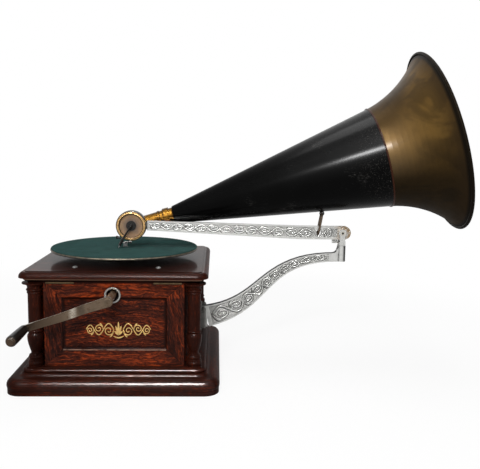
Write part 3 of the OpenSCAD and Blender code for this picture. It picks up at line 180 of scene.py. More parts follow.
class StageSettings(bpy.types.PropertyGroup):
    """Floor, light and camera."""

    floor: colour_prop("Floor", "Colour of the floor", (0.45, 0.45, 0.45))
    key: power_prop("Key", "Power of the long lamp above the front", 8.0)
    front: power_prop("Front", "Power of the small lamp near the camera", 14.0)
    strip: power_prop("Strip", "Power of the tall lamp that only shows in gloss", 12.0)
    top: power_prop("Top", "Power of the overhead lamp", 10.0)
    ambient: share_prop("Ambient", "Light of the surroundings", 0.36)
    lens: FloatProperty(name="Lens", description="Focal length", unit="CAMERA", min=10, default=48.75)
    eye: FloatVectorProperty(name="Eye", description="Place of the camera", subtype="TRANSLATION",
                             default=(0.15855, -1.13588, 0.38583))
    aim: FloatVectorProperty(name="Aim", description="Turn to the right, pitch down and roll",
                             subtype="EULER", default=(0.0375, 0.1338, 0.0151))


class GramophoneSettings(bpy.types.PropertyGroup):
    """All settings of the gramophone."""

    oak: PointerProperty(type=OakSettings)
    metal: PointerProperty(type=MetalSettings)
    felt: PointerProperty(type=FeltSettings)
    ornament: PointerProperty(type=OrnamentSettings)
    stage: PointerProperty(type=StageSettings)


class Val:
    """A shader socket that takes part in Python expressions."""

    def __init__(self, shader, socket):
        self.shader = shader
        self.socket = socket

    def maths(self, operation, *values):
        return self.shader.node("ShaderNodeMath", dict(enumerate(values)), operation=operation)

    def __add__(self, other):
        return self.maths("ADD", self, other)

    def __sub__(self, other):
        return self.maths("SUBTRACT", self, other)

    def __rsub__(self, other):
        return self.maths("SUBTRACT", other, self)

    def __mul__(self, other):
        return self.maths("MULTIPLY", self, other)

    def __gt__(self, other):
        return self.maths("GREATER_THAN", self, other)

    def __lt__(self, other):
        return self.maths("LESS_THAN", self, other)

    def __abs__(self):
        return self.maths("ABSOLUTE", self)

    __radd__ = __add__
    __rmul__ = __mul__

    def top(self, other):
        """The greater of two values."""
        return self.maths("MAXIMUM", self, other)

    def root(self):
        return self.maths("SQRT", self)

    def wave(self):
        """Swings between -1 and 1."""
        return self.maths("SINE", self)

    def ease(self, start, end):
        """Goes smoothly from 0 at start to 1 at end; end may be the smaller one."""
        return self.shader.node("ShaderNodeMapRange", {0: self, 1: start, 2: end, 3: 0.0, 4: 1.0},
                                interpolation_type="SMOOTHSTEP")


class Shader:
    """The nodes of a material or a world, with maths written as expressions on Val."""

    def __init__(self, owner):
        owner.use_nodes = True
        self.owner = owner
        self.tree = owner.node_tree
        self.tree.nodes.clear()
        self.spot = None

    def node(self, kind, inputs=(), out=0, stops=None, **settings):
        """Adds a node; its settings are set first, then its sockets are filled or linked."""
        made = self.tree.nodes.new(kind)
        for key, value in settings.items():
            setattr(made, key, value)
        if stops:
            bar = made.color_ramp.elements
            while len(bar) < len(stops):
                bar.new(0.5)
            for element, (place, colour) in zip(bar, stops):
                element.position = place
                element.color = (*colour, 1)
        for key, value in dict(inputs).items():
            socket = made.inputs[key]
            if isinstance(value, Val):
                self.tree.links.new(value.socket, socket)
            elif hasattr(value, "__len__") and len(value) == 3 and socket.type == "RGBA":
                socket.default_value = (*value, 1)
            else:
                socket.default_value = value
        return Val(self, made.outputs[out]) if made.outputs else None

    def place(self):
        """The three coordinates of the surface in millimetres."""
        if not self.spot:
            at = self.node("ShaderNodeTexCoord", out="Object")
            self.spot = [self.node("ShaderNodeSeparateXYZ", {0: at}, out=i) * 1000 for i in range(3)]
        return self.spot

    def facing(self, axis):
        """How much the surface faces along an axis, from -1 to 1."""
        normal = self.node("ShaderNodeTexCoord", out="Normal")
        return self.node("ShaderNodeSeparateXYZ", {0: normal}, out=axis)

    def off_axis(self, axis_x, axis_z):
        """Distance in millimetres from a line along Y."""
        x, _, z = self.place()
        return ((x - axis_x) * (x - axis_x) + (z - axis_z) * (z - axis_z)).root()

    def noise(self, u, v, w, detail=3.0, rough=0.55, swirl=0.0):
        spot = self.node("ShaderNodeCombineXYZ", {0: u, 1: v, 2: w})
        return self.node("ShaderNodeTexNoise", {"Vector": spot, "Scale": 1.0, "Detail": detail,
                                                "Roughness": rough, "Distortion": swirl})

    def mottle(self, scale, detail=3.0, rough=0.55, swirl=0.0):
        """Noise that is alike in all directions; scale counts its waves per millimetre."""
        return self.noise(*[v * scale for v in self.place()], detail, rough, swirl)

    def mix(self, share, first, second):
        return self.node("ShaderNodeMix", {0: share, 6: first, 7: second}, out=2, data_type="RGBA")

    def coats(self, colour, *coats):
        """Lays coats over a colour, one after another; each is a share and a colour."""
        for share, coat in coats:
            colour = self.mix(share, colour, coat)
        return colour

    def ramp(self, share, stops):
        return self.node("ShaderNodeValToRGB", {0: share}, stops=stops)

    def bump(self, height, strength, depth):
        return self.node("ShaderNodeBump", {"Height": height, "Strength": strength, "Distance": depth})

    def surface(self, specular=0.5, **sockets):
        """Finishes the material with one principled surface."""
        inputs = {key.replace("_", " ").title().replace("Ior", "IOR"): sockets[key] for key in sockets}
        skin = self.node("ShaderNodeBsdfPrincipled", {"Specular IOR Level": specular, **inputs})
        self.node("ShaderNodeOutputMaterial", {"Surface": skin})
        return self.owner


def finish(name):
    """The shader of a new material."""
    return Shader(bpy.data.materials.new(name))


def add(name, data):
    """Puts a new object in the scene."""
    made = bpy.data.objects.new(name, data)
    bpy.context.collection.objects.link(made)
    return made


def paint(material, *nodes):
    """Gives CAD nodes a material."""
    for name in nodes:
        mesh = frame["nodes"][name].data
        mesh.materials.clear()
        mesh.materials.append(material)


def box_mm(node):
    """The low and high corner of a CAD node in millimetres."""
    return [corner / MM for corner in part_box(node)]


def oak(name, settings, lay, shade=1.0, scale=1.0, gloss=1.0, polish=0.18, patchy=0.7,
        shade_and_dirt=None, rub_and_highlight=None, painted_light_tone=None):
    """Varnished oak.

    shade is the strength of the grain, scale its shortness, polish the varnish's roughness and patchy how
    uneven and open the varnish is. Functions of the shader give the rest: lay the lengths along, across and
    through the grain, shade_and_dirt the share of painted shade and dark joint lines, rub_and_highlight the
    share of painted highlight, painted_light_tone the painted light added to the stain's tone. gloss is a
    number or such a function."""
    s = finish(name)
    shine = gloss(s) if callable(gloss) else gloss
    along, across, through = lay(s)
    wander = s.noise(along * (0.014 * scale), across * 0.02, through * 0.02)
    across = across + (wander - 0.5) * 22
    broad = s.noise(along * (0.01 * scale), across * 0.05, through * 0.05)
    streak = s.noise(along * (0.022 * scale), across * 0.55, through * 0.4, detail=5.0, rough=0.65, swirl=0.5)
    fleck = s.noise(along * (0.07 * scale), across * 0.22, through * 0.2, detail=4.0, rough=0.6, swirl=1.6)
    pores = s.noise(along * (0.06 * scale), across * 1.5, through * 1.2, detail=2.0)
    tone = streak * 0.4 + broad * 0.25 + fleck * 0.35
    # Painted light added to the stain's tone.
    if painted_light_tone:
        tone = tone + painted_light_tone(s)
    bright = [a + (b - a) * settings.figure for a, b in zip(settings.mid, settings.flame)]
    grain = s.ramp(tone, [(0.38, dim(settings.dark, 0.5)), (0.46, settings.dark), (0.53, settings.mid),
                          (0.62, bright)])
    colour = s.coats(grain, (pores.ease(0.54, 0.7) * 0.5, dim(settings.dark, 0.5)),
                     (1.0 - shade, dim(settings.dark, 0.7)))
    # Painted shade in a dark colour, with dark joint lines on the frames.
    if shade_and_dirt:
        colour = s.mix(shade_and_dirt(s) * 0.8, colour, dim(settings.dark, 0.3))
    # Painted highlight in a pale colour.
    if rub_and_highlight:
        colour = s.mix(rub_and_highlight(s) * 0.7, colour, tint(176, 138, 116))
    wear = s.noise(along * 0.05, across * 0.12, through * 0.12, detail=4.0, rough=0.6)
    polished = 0.8 - patchy / 2 + wear.ease(0.3, 0.62) * patchy
    return s.surface(base_color=colour, roughness=0.35 + pores * 0.2,
                     coat_weight=polished * (shine * settings.varnish), coat_roughness=polish,
                     coat_ior=1.35, specular=0.02,
                     normal=s.bump(pores, 0.02 + 0.2 * patchy, 0.0004))


def lay_along(axis):
    """Grain along one axis."""
    second, third = [i for i in range(3) if i != axis]

    def lay(s):
        return [s.place()[i] for i in (axis, third, second)]
    return lay


def lay_ring(s):
    """Grain of mitred members round a square: along X at front and back, along Y at the sides."""
    x, y, z = s.place()
    shift = 900
    sideways = abs(x) > abs(y)
    along = x + (y - x) * sideways
    out = y + (x - y) * sideways
    return along + sideways * shift, out + z * 0.8, z


class FramedSide:
    """A framed side of the case: grain and stain of frame and panel, painted light, shade and highlight."""

    stile_lean = 0.22
    stile_shift = 700
    bevel = 2.6

    def __init__(self, name, axis):
        low, high = box_mm(name + "_frame")
        panel_low, panel_high = box_mm("front_panel")
        self.axis = axis
        self.half = panel_high[0] - PANEL_TONGUE
        self.low = panel_low[2] + PANEL_TONGUE
        self.high = panel_high[2] - PANEL_TONGUE
        self.mitre = (self.low - low[2]) / (high[axis] - self.half)

    def past_opening(self, s):
        """How far the surface lies beside the frame's opening, and above or below it."""
        z = s.place()[2]
        return abs(s.place()[self.axis]) - self.half, (self.low - z).top(z - self.high)

    def lay(self, s):
        """Grain of rails along the wall and of upright, slightly slanted stiles."""
        x, y, z = s.place()
        wall, depth = (x, y) if self.axis == 0 else (y, x)
        beside, beyond = self.past_opening(s)
        upright = beside * self.mitre > beyond
        along = wall + (z - wall) * upright
        across = z + (wall + z * self.stile_lean - z) * upright
        return along + upright * self.stile_shift, across, depth

    def shade_and_dirt(self, s):
        """Painted shade round the opening, and dark joint lines in the mitred corners."""
        beside, beyond = self.past_opening(s)
        edge = beside.top(beyond).ease(3.4, 1.2)
        corner = abs(beside * self.mitre - beyond).ease(1.0, 0.2) * beyond.ease(0.0, 0.1) * 0.6
        return edge.top(corner)

    def rub_and_highlight(self, s):
        """Painted highlight along the lower edge of the frame's bevel."""
        beside, _ = self.past_opening(s)
        line = abs(self.low - s.place()[2] - self.bevel).ease(0.75, 0.3) * (beside < 1)
        return line * s.mottle(0.06).ease(0.25, 0.55)

    def painted_light_tone(self, s):
        """Painted light on the upper rail, which lies in the lid's shade; the stiles are made a little
        darker.
        """
        beside, _ = self.past_opening(s)
        return (s.place()[2] - self.high).ease(0.0, 4.0) * 0.036 - beside.ease(0.0, 3.0) * 0.02

    def panel_painted_shade(self, s):
        """Painted shade along the panel's edges."""
        beside, beyond = self.past_opening(s)
        return beside.top(beyond).ease(-5.0, -0.4)


def at_sides(s):
    """1 on members at the case's sides, 0 on those at front and back."""
    x, y, _ = s.place()
    return (abs(x) - abs(y)).ease(-6.0, 3.0)


def base_gloss(s):
    """The base is polished at front and back, worn towards the left and dull at the sides."""
    return (0.9 - at_sides(s) * 0.87) * s.place()[0].ease(-170, -70)


def base_painted_shade(s):
    """Painted shade at the base's sides and left end."""
    return (at_sides(s) * 0.5).top(s.place()[0].ease(-110, -165) * 0.8)


def rim_gloss(s):
    """The lid's rim is best polished on top."""
    return 0.22 + s.facing(2).ease(0.97, 0.995) * 1.03


def lid_painted_shade(s):
    """Painted shade and painted dark reflection round the turntable, fading towards the lid's corners."""
    x, y, _ = s.place()
    return (x * x + y * y).root().ease(190, 145) * 0.95


def rim_painted_shade(s):
    """Painted shade in the recess below the lid, and painted shade and reflection towards the turntable on
    top.
    """
    return s.facing(2).ease(0.05, -0.4).top(lid_painted_shade(s) * s.facing(2).ease(0.85, 0.97))


def rim_painted_highlight(s):
    """Painted highlight on the bead below the lid's lip, at front and back."""
    level = box_mm("lid_moulding")[0].z + LID_BEAD_RISE
    return abs(s.place()[2] - level).ease(1.7, 0.7) * abs(s.facing(1)).ease(0.55, 0.8) * 1.4


def pine():
    """Bare wood inside the case."""
    s = finish("inner_pine")
    x, y, z = s.place()
    grain = s.noise(x * 0.02, y * 0.3, z * 0.02)
    colour = s.ramp(grain, [(0.3, tint(116, 82, 52)), (0.7, tint(158, 120, 80))])
    return s.surface(base_color=colour, roughness=0.7 + grain * 0.15)


class GRAMOPHONE_OT_finish_wood(bpy.types.Operator):
    """Stains and varnishes the oak case"""

    bl_idname = "gramophone.finish_wood"
    bl_label = "Finish Wood"

    def execute(self, context):
        settings = context.scene.gramophone.oak
        for name, axis in (("front", 0), ("back", 0), ("left", 1), ("right", 1)):
            side = FramedSide(name, axis)
            paint(oak(name + "_frame_oak", settings, side.lay, gloss=0.5, shade_and_dirt=side.shade_and_dirt, rub_and_highlight=side.rub_and_highlight,
                      painted_light_tone=side.painted_light_tone), name + "_frame")
        paint(oak("panel_oak", settings, lay_along(0), scale=1.3, gloss=0.5,
                  shade_and_dirt=FramedSide("front", 0).panel_painted_shade), "front_panel", "back_panel")
        paint(oak("side_panel_oak", settings, lay_along(1), scale=1.3, gloss=0.5,
                  shade_and_dirt=FramedSide("left", 1).panel_painted_shade), "side_panels")
        paint(oak("column_oak", settings, lay_along(2), shade=0.15, gloss=0.22), "corner_columns")
        paint(oak("lid_oak", settings, lay_along(0), shade=0.3, gloss=1.25, polish=0.1, patchy=0.1,
                  shade_and_dirt=lid_painted_shade), "lid_board")
        paint(oak("lid_rim_oak", settings, lay_ring, shade=0.22, gloss=rim_gloss, polish=0.12, patchy=0.2,
                  shade_and_dirt=rim_painted_shade, rub_and_highlight=rim_painted_highlight), "lid_moulding")
        paint(oak("base_oak", settings, lay_ring, shade=0.27, gloss=base_gloss, polish=0.24,
                  shade_and_dirt=base_painted_shade), "base_moulding")
        paint(pine(), "bottom_board", "corner_posts")
        return {"FINISHED"}


def metal(name, colour, rough=0.25, spread=0.2, dull=0.75, scale=0.12, plate=0.7):
    """Metal with clouded polish: the dull share is darker and rougher."""
    s = finish(name)
    worn = s.mottle(scale, detail=5.0, rough=0.65).ease(0.42, 0.72)
    specks = s.mottle(1.6, detail=2.0)
    shade = s.coats(colour, (worn, dim(colour, dull)), (specks.ease(0.62, 0.74) * 0.35, dim(colour, 0.5)))
    return s.surface(base_color=shade, metallic=plate, roughness=rough + worn * spread + specks * 0.05,
                     normal=s.bump(specks, 0.05, 0.0003))


def cast_metal(name, settings, half, sunk, level, wear_and_painted_dark):
    """Nickel plated casting whose sunk fields are dull and stippled.

    half is half the casting's thickness and level scales the plate's brightness.
    wear_and_painted_dark(shader) gives a share and the colour that shows there instead of bright plate: worn
    brass on the arm, painted dark on the bracket."""
    s = finish(name)
    deep = (abs(s.facing(1)) > 0.7) * (abs(s.place()[1]) < half - sunk * 0.5)
    stipple = s.mottle(0.9)
    cloud = s.mottle(0.1, detail=4.0)
    pewter = dim(settings.pewter, level)
    nickel = dim(settings.nickel, level)
    field = s.mix(stipple.ease(0.3, 0.6), dim(pewter, 0.6), pewter)
    # Worn brass on the arm, painted dark on the bracket.
    share, aged_and_shaded = wear_and_painted_dark(s)
    colour = s.coats(nickel, (cloud.ease(0.4, 0.75), dim(nickel, 0.8)), (share, aged_and_shaded), (deep, field))
    return s.surface(base_color=colour, metallic=0.6 - share * 0.5, specular=0.15,
                     roughness=0.26 + deep * 0.24 + cloud * 0.12 + share * 0.45,
                     normal=s.bump(stipple * deep, 0.5, 0.0004))


def arm_age(s):
    """Plate worn down to brass round the arm's pin."""
    rub_and_highlight = s.mottle(0.25, detail=4.0)
    return s.place()[0].ease(*ARM_WORN) * rub_and_highlight.ease(0.3, 0.58) * 0.85, tint(132, 102, 58)


def bracket_painted_dark(s):
    """Upward faces of the bracket made near black, and painted dark reflection on both sides of
    its upright socket.
    """
    x, _, z = s.place()
    # Upward faces below the socket made near black.
    above = s.facing(2).ease(0.3, 0.7) * (z < SOCKET_LOW)
    # Painted dark reflection on both sides of the socket.
    right = s.facing(0).ease(0.15, 0.6)
    left = s.facing(0).ease(-0.3, -0.95) * 0.8
    return above.top(right.top(left) * (x > SOCKET_LEFT)) * 0.92, tint(18, 18, 18)


def platter_metal():
    """Dull plate with painted shade on its underside."""
    s = finish("plate_metal")
    cloud = s.mottle(0.1, detail=5.0, rough=0.65)
    # Painted shade on the underside.
    below = s.facing(2).ease(-0.3, -0.7)
    colour = s.coats(tint(84, 78, 68), (cloud.ease(0.42, 0.72), tint(48, 44, 38)), (below, tint(16, 14, 13)))
    return s.surface(base_color=colour, metallic=0.6 - below * 0.6,
                     roughness=0.38 + cloud * 0.2 + below * 0.3, specular=0.1,
                     normal=s.bump(cloud, 0.05, 0.0004))


def crank_wear_and_light(settings):
    """Worn plate: brushed along the arm and brown towards the grip. Painted highlights at the bend and on the
    upward faces, and painted shade just before the bend.
    """
    s = finish("crank_wear_and_light")
    x, y, z = s.place()
    cosine, sine = math.cos(CRANK_FALL), math.sin(CRANK_FALL)
    length = (CRANK_X - x) * cosine + (CRANK_Z - z) * sine
    height = (x - CRANK_X) * -sine + (z - CRANK_Z) * cosine
    brushed = s.noise(length * 0.03, height * 0.9, y * 0.9, detail=4.0, rough=0.65)
    cloud = s.mottle(0.05, detail=4.0)
    rust = s.mottle(0.16, detail=5.0, rough=0.7)
    # Painted shade just before the bend, and a painted highlight at the bend.
    bend_shade = abs(length - (CRANK_BEND - 13)).ease(8, 2)
    bend = abs(length - CRANK_BEND + height * 0.3).ease(8, 0) * brushed.ease(0.3, 0.6)
    colour = s.coats(
        settings.crank, (length.ease(128, 10) * cloud.ease(0.3, 0.65), dim(settings.crank, 1.4)),
        (length.ease(48, 124) * 0.65, tint(56, 42, 32)),
        (brushed.ease(0.5, 0.7) * 0.5, dim(settings.crank, 0.5)),
        # Painted shade before the bend, painted highlights at the bend and on the upward faces.
        (rust.ease(0.56, 0.68) * 0.6, tint(66, 45, 30)), (bend_shade * 0.55, tint(50, 44, 37)),
        (bend * 0.5, tint(206, 200, 186)), (s.facing(2).ease(0.2, 0.8) * 0.5, tint(196, 188, 174)))
    return s.surface(base_color=colour, metallic=0.75, roughness=0.24 + brushed * 0.2, specular=0.2,
                     normal=s.bump(brushed, 0.1, 0.0004))


def pin_steel():
    """Steel pin with painted shade of a hole at its centre."""
    s = finish("pin_steel")
    reach = s.off_axis(PIVOT_X, PIN_Z)
    # Painted shade of a hole at the centre.
    return s.surface(base_color=s.mix(reach.ease(1.7, 2.2), tint(34, 32, 30), tint(188, 184, 174)),
                     metallic=0.6, roughness=0.3 + reach * 0.02)


class GRAMOPHONE_OT_finish_metal(bpy.types.Operator):
    """Plates, lacquers and ages the metal pieces"""

    bl_idname = "gramophone.finish_metal"
    bl_label = "Finish Metal"

    def execute(self, context):
        settings = context.scene.gramophone.metal
        by_slot = {}
        for piece in frame["record"]["subparts"]:
            by_slot.setdefault(piece["material_slot"], []).append(piece["node"])
        finishes = {
            "nickel": metal("nickel_plate", settings.nickel),
            "motor_steel": metal("motor_steel", settings.steel, rough=0.32),
            "spring_steel": metal("spring_steel", tint(96, 104, 124), rough=0.3),
            "motor_brass": metal("motor_brass", settings.brass, rough=0.28),
            "hinge_brass": metal("hinge_tarnish", tint(84, 66, 42), rough=0.45, dull=0.6),
            "wire": metal("bail_wire", settings.wire, rough=0.36, dull=0.5, scale=0.3),
        }
        for slot, material in finishes.items():
            paint(material, *by_slot[slot])
        paint(platter_metal(), "platter")
        paint(crank_wear_and_light(settings), "crank_arm")
        paint(metal("shaft_bronze", tint(112, 86, 62), rough=0.35, dull=0.6), "crank_shaft")
        paint(metal("escutcheon_nickel", tint(150, 150, 146), rough=0.3, dull=0.65), "crank_escutcheon")
        paint(metal("socket_plate", tint(98, 97, 94), rough=0.4, dull=0.6), "bracket_socket", "socket_screws")
        paint(metal("needle_clamp", tint(58, 57, 55), rough=0.4), "needle_screw")
        paint(pin_steel(), "yoke_pin")
        paint(cast_metal("arm_casting", settings, ARM_HALF, ARM_SUNK, 1.05, arm_age), "travelling_arm")
        paint(cast_metal("bracket_casting", settings, BRACKET_HALF, BRACKET_SUNK, 1.08, bracket_painted_dark),
              "bracket")
        return {"FINISHED"}


def along_horn(s):
    """Distance along the horn's axis from the cone's small end."""
    x, y, z = s.place()
    return (x - HORN_TIP.x) * HORN_AXIS.x + (y - HORN_TIP.y) * HORN_AXIS.y + (z - HORN_TIP.z) * HORN_AXIS.z


def black_japan():
    """Black japan, glossier towards the seam, chipped there, and scuffed."""
    s = finish("black_japan")
    _, y, z = s.place()
    run = along_horn(s)
    cloud = s.mottle(0.02, detail=4.0)
    chips = s.mottle(0.5, detail=4.0, rough=0.7).ease(0.56, 0.66)
    pits = s.mottle(1.3, rough=0.7).ease(0.5, 0.58)
    worn = chips * pits * run.ease(SEAM - 70, SEAM)
    scuff = s.noise(run * 0.16, y * 0.5, z * 1.1, detail=4.0, rough=0.7) * cloud
    below = s.facing(2).ease(0.25, -0.25)
    colour = s.coats(tint(3, 3, 3), (cloud, tint(8, 8, 8)), (worn * 0.6, tint(150, 146, 140)),
                     (scuff.ease(0.37, 0.44) * 0.5, tint(84, 82, 80)),
                     (run.ease(SEAM - 3.4, SEAM - 2.4), tint(66, 38, 27)))
    return s.surface(base_color=colour, roughness=0.22 + cloud * 0.1 + worn * 0.3, specular=0.02,
                     coat_weight=0.04 + run.ease(130, 360) * 0.32 * (1 - worn.top(below)),
                     coat_roughness=0.18, coat_ior=1.4, normal=s.bump(cloud, 0.04, 0.002))


def connector_lacquer(settings):
    """Gold lacquer with dark creases and painted shade on its underside."""
    s = finish("connector_lacquer")
    run = along_horn(s)
    cloud = s.mottle(0.05)
    creases = run > -1.2
    for spot, half in CREASES:
        creases = creases.top(abs(run - spot) < half)
    # Painted shade on the underside.
    below = s.facing(2).ease(0.6, -0.35)
    gold = s.coats(settings.lacquer, (cloud.ease(0.4, 0.62), dim(settings.lacquer, 0.5)),
                   (creases.top(below * 0.8), tint(44, 28, 10)))
    return s.surface(base_color=gold, metallic=0.9, roughness=0.26 + cloud * 0.12, specular=0.1,
                     normal=s.bump(cloud, 0.02, 0.0005))


def bell_patina(settings):
    """Brass gone brown: stained, darker towards the mouth and dark along the rim, with painted shade and
    dark reflection underneath and a painted dark reflection on top near the seam.
    """
    s = finish("bell_patina")
    run = along_horn(s)
    cloud = s.mottle(0.016, detail=5.0, rough=0.6, swirl=0.6)
    stain = s.mottle(0.06, detail=5.0, rough=0.65)
    specks = s.mottle(0.9, detail=2.0)
    dusk = s.mottle(0.011, rough=0.5, swirl=1.2)
    # Painted shade and dark reflection underneath, painted dark reflection on top near the seam.
    under = s.facing(2).ease(0.05, -0.55)
    over = s.facing(2).ease(0.2, 0.6) * run.ease(SEAM + 85, SEAM + 40)
    edge = run.ease(MOUTH - 26, MOUTH - 1)
    rim = run.ease(MOUTH - 7, MOUTH - 3)
    aged_and_shaded = s.coats(
        settings.bell, (cloud.ease(0.3, 0.7), dim(settings.bell, 1.25)),
        (stain.ease(0.48, 0.75) * 0.35, tint(80, 62, 34)), (dusk.ease(0.5, 0.62) * 0.55, tint(52, 40, 22)),
        (under * 0.88, tint(16, 12, 7)), (edge * 0.75, tint(48, 36, 22)), (rim * 0.9, tint(16, 13, 9)),
        (over * 0.75, tint(40, 29, 14)), (specks.ease(0.66, 0.74) * 0.5, tint(40, 30, 18)))
    polished = run.ease(SEAM + 72.8, SEAM) * (1 - under.top(over)) * 0.5
    return s.surface(base_color=aged_and_shaded, metallic=0.45 - under * 0.43, specular=0.05,
                     roughness=0.3 + stain * 0.2 + edge * 0.1 + under * 0.3,
                     coat_weight=polished, coat_roughness=0.22, normal=s.bump(stain, 0.05, 0.002))


class GRAMOPHONE_OT_finish_horn(bpy.types.Operator):
    """Japans the cone black, lacquers its connector and ages the brass bell"""

    bl_idname = "gramophone.finish_horn"
    bl_label = "Finish Horn"

    def execute(self, context):
        settings = context.scene.gramophone.metal
        paint(black_japan(), "horn_cone")
        paint(connector_lacquer(settings), "horn_elbow", "horn_clip")
        paint(bell_patina(settings), "horn_bell")
        return {"FINISHED"}


def enamel(name, lip=False):
    """Black enamel; with lip, the soundbox's front edge shows brass."""
    s = finish(name)
    cloud = s.mottle(0.3, detail=4.0)
    colour = s.mix(cloud, tint(12, 12, 12), tint(34, 32, 30))
    bare = 0.0
    if lip:
        bare = (s.facing(1) < -0.6) * s.off_axis(SOUNDBOX_X, SOUNDBOX_Z).ease(24.9, 24.2)
        colour = s.mix(bare, colour, s.mix(cloud.ease(0.4, 0.7), tint(184, 150, 100), tint(128, 100, 62)))
    return s.surface(base_color=colour, roughness=0.25 + cloud * 0.2, metallic=bare * 0.6,
                     specular=0.2, normal=s.bump(cloud, 0.05, 0.0005))


def ring_brass():
    """Brass ring with painted shade along its inner edge."""
    s = finish("ring_brass")
    cloud = s.mottle(0.3, detail=4.0)
    # Painted shade along the inner edge.
    inner = s.off_axis(SOUNDBOX_X, SOUNDBOX_Z).ease(21.7, 20.9)
    gold = s.coats(tint(190, 156, 104), (cloud.ease(0.4, 0.7), tint(140, 110, 70)), (inner, tint(58, 40, 24)))
    return s.surface(base_color=gold, metallic=0.5, roughness=0.42 + cloud * 0.1, specular=0.2,
                     normal=s.bump(cloud, 0.05, 0.0005))


def ebonised():
    """Black stained wood whose turned end is rubbed brown."""
    s = finish("grip_ebonised")
    x, y, z = s.place()
    grain = s.noise(x * 0.8, y * 0.05, z * 0.8)
    turned = (s.off_axis(GRIP_X, GRIP_Z) * 4.2).wave()
    end = s.facing(1).ease(-0.35, -0.75)
    colour = s.coats(tint(10, 9, 9), (grain, tint(30, 26, 23)),
                     (end * (0.45 + turned * 0.4), tint(88, 69, 52)))
    return s.surface(base_color=colour, roughness=0.22 + grain * 0.2, specular=0.12,
                     normal=s.bump(grain + turned * end, 0.12, 0.0005))


def tan_mica():
    """Clouded mica with painted shade towards its middle."""
    s = finish("tan_mica")
    cloud = s.mottle(0.16, detail=5.0, rough=0.65)
    fleck = s.mottle(1.1, detail=2.0)
    reach = s.off_axis(SOUNDBOX_X, SOUNDBOX_Z)
    # Painted shade towards the middle.
    colour = s.coats(tint(84, 60, 40), (reach.ease(7, 19), tint(152, 116, 76)),
                     (cloud.ease(0.45, 0.7) * 0.6, tint(98, 76, 58)),
                     (fleck.ease(0.66, 0.76) * 0.6, tint(196, 184, 166)))
    return s.surface(base_color=colour, roughness=0.32 + fleck * 0.2, coat_weight=0.15,
                     normal=s.bump(cloud, 0.1, 0.0006))


class GRAMOPHONE_OT_finish_soundbox(bpy.types.Operator):
    """Enamels the soundbox and grip and colours the ring and the diaphragm"""

    bl_idname = "gramophone.finish_soundbox"
    bl_label = "Finish Soundbox and Grip"

    def execute(self, context):
        paint(enamel("black_enamel"), "needle_bar")
        paint(enamel("enamel_with_lip", lip=True), "soundbox")
        paint(ring_brass(), "soundbox_ring")
        paint(tan_mica(), "diaphragm")
        paint(ebonised(), "crank_grip")
        return {"FINISHED"}


def new_piece(name, body, material, build):
    """Makes a smooth mesh piece with build(bm) and puts it on its body."""
    mesh = bpy.data.meshes.new(name)
    bm = bmesh.new()
    build(bm)
    bmesh.ops.recalc_face_normals(bm, faces=bm.faces)
    bm.to_mesh(mesh)
    bm.free()
    mesh.materials.append(material)
    for face in mesh.polygons:
        face.use_smooth = True
    piece = add(name, mesh)
    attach(piece, body)
    return piece


def felt_cloth(settings):
    """Green felt: a worn nap and pale fibres."""
    s = finish("green_felt")
    fibre = s.mottle(1.3, detail=4.0, rough=0.7)
    nap = s.mottle(0.05, detail=4.0)
    colour = s.coats(settings.colour, (nap.ease(0.3, 0.75), dim(settings.colour, 0.72)),
                     (fibre.ease(0.45, 0.75) * 0.35, dim(settings.colour, 1.7)))
    return s.surface(base_color=colour, roughness=0.95, specular=0.05,
                     normal=s.bump(fibre, 0.35, 0.0006))


class GRAMOPHONE_OT_lay_felt(bpy.types.Operator):
    """Lays the felt on the turntable"""

    bl_idname = "gramophone.lay_felt"
    bl_label = "Lay Felt"

    def execute(self, context):
        settings = context.scene.gramophone.felt
        low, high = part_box("felt_mat")
        radius = high.x
        hole = FELT_HOLE * MM
        bevel = 0.5 * MM
        tuck = 0.4 * MM
        flat = radius - bevel - hole
        around = 160

        def ripple(r, angle):
            wave = math.sin(5 * angle + 90 * r) + 0.6 * math.sin(9 * angle - 160 * r)
            return settings.ripple * 0.5 * (wave + 0.4 * math.sin(340 * r) - 2)

        def build(bm):
            profile = [(hole, low.z)]
            profile += [(hole + flat * i / settings.rings, None) for i in range(settings.rings + 1)]
            profile += [(radius, (low.z + high.z) / 2), (radius - tuck, low.z)]
            rows = []
            for r, z in profile:
                ring = []
                for k in range(around):
                    a = 2 * math.pi * k / around
                    level = high.z + ripple(r, a) if z is None else z
                    ring.append(bm.verts.new((r * math.cos(a), r * math.sin(a), level)))
                rows.append(ring)
            rows.append(rows[0])
            for inner, outer in zip(rows, rows[1:]):
                for k in range(around):
                    n = (k + 1) % around
                    bm.faces.new((inner[k], outer[k], outer[n], inner[n]))

        felt = new_piece("felt_disc", "turntable", felt_cloth(settings), build)
        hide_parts("felt_mat")
        return {"FINISHED"}


def scroll_spiral(middle, width, side):
    """A spiral with a round eye in one bend of a running scroll."""
    steps = 26
    turn = side * 2.9 * math.pi
    path = []
    for k in range(steps + 1):
        t = k / steps
        angle = math.pi + turn * t
        shrink = (1 - t) ** 0.9
        eye = 0.7 if k == steps else 0
        path.append((middle + width * (0.05 + 0.40 * shrink) * math.cos(angle),
                     -side * 0.14 + 0.62 * (0.14 + 0.86 * shrink) * math.sin(angle),
                     1.0 - 0.25 * t + eye))
    return path


def scroll_leaf(start, width, side):
    """A leaf in the corner beside a bend of a running scroll."""
    path = []
    for k in range(9):
        t = k / 8
        path.append((start + width * 0.42 * t, -side * 0.92 * math.sin(t * math.pi / 2) ** 0.8,
                     0.15 + 1.2 * math.sin(math.pi * (0.12 + 0.82 * t))))
    return path


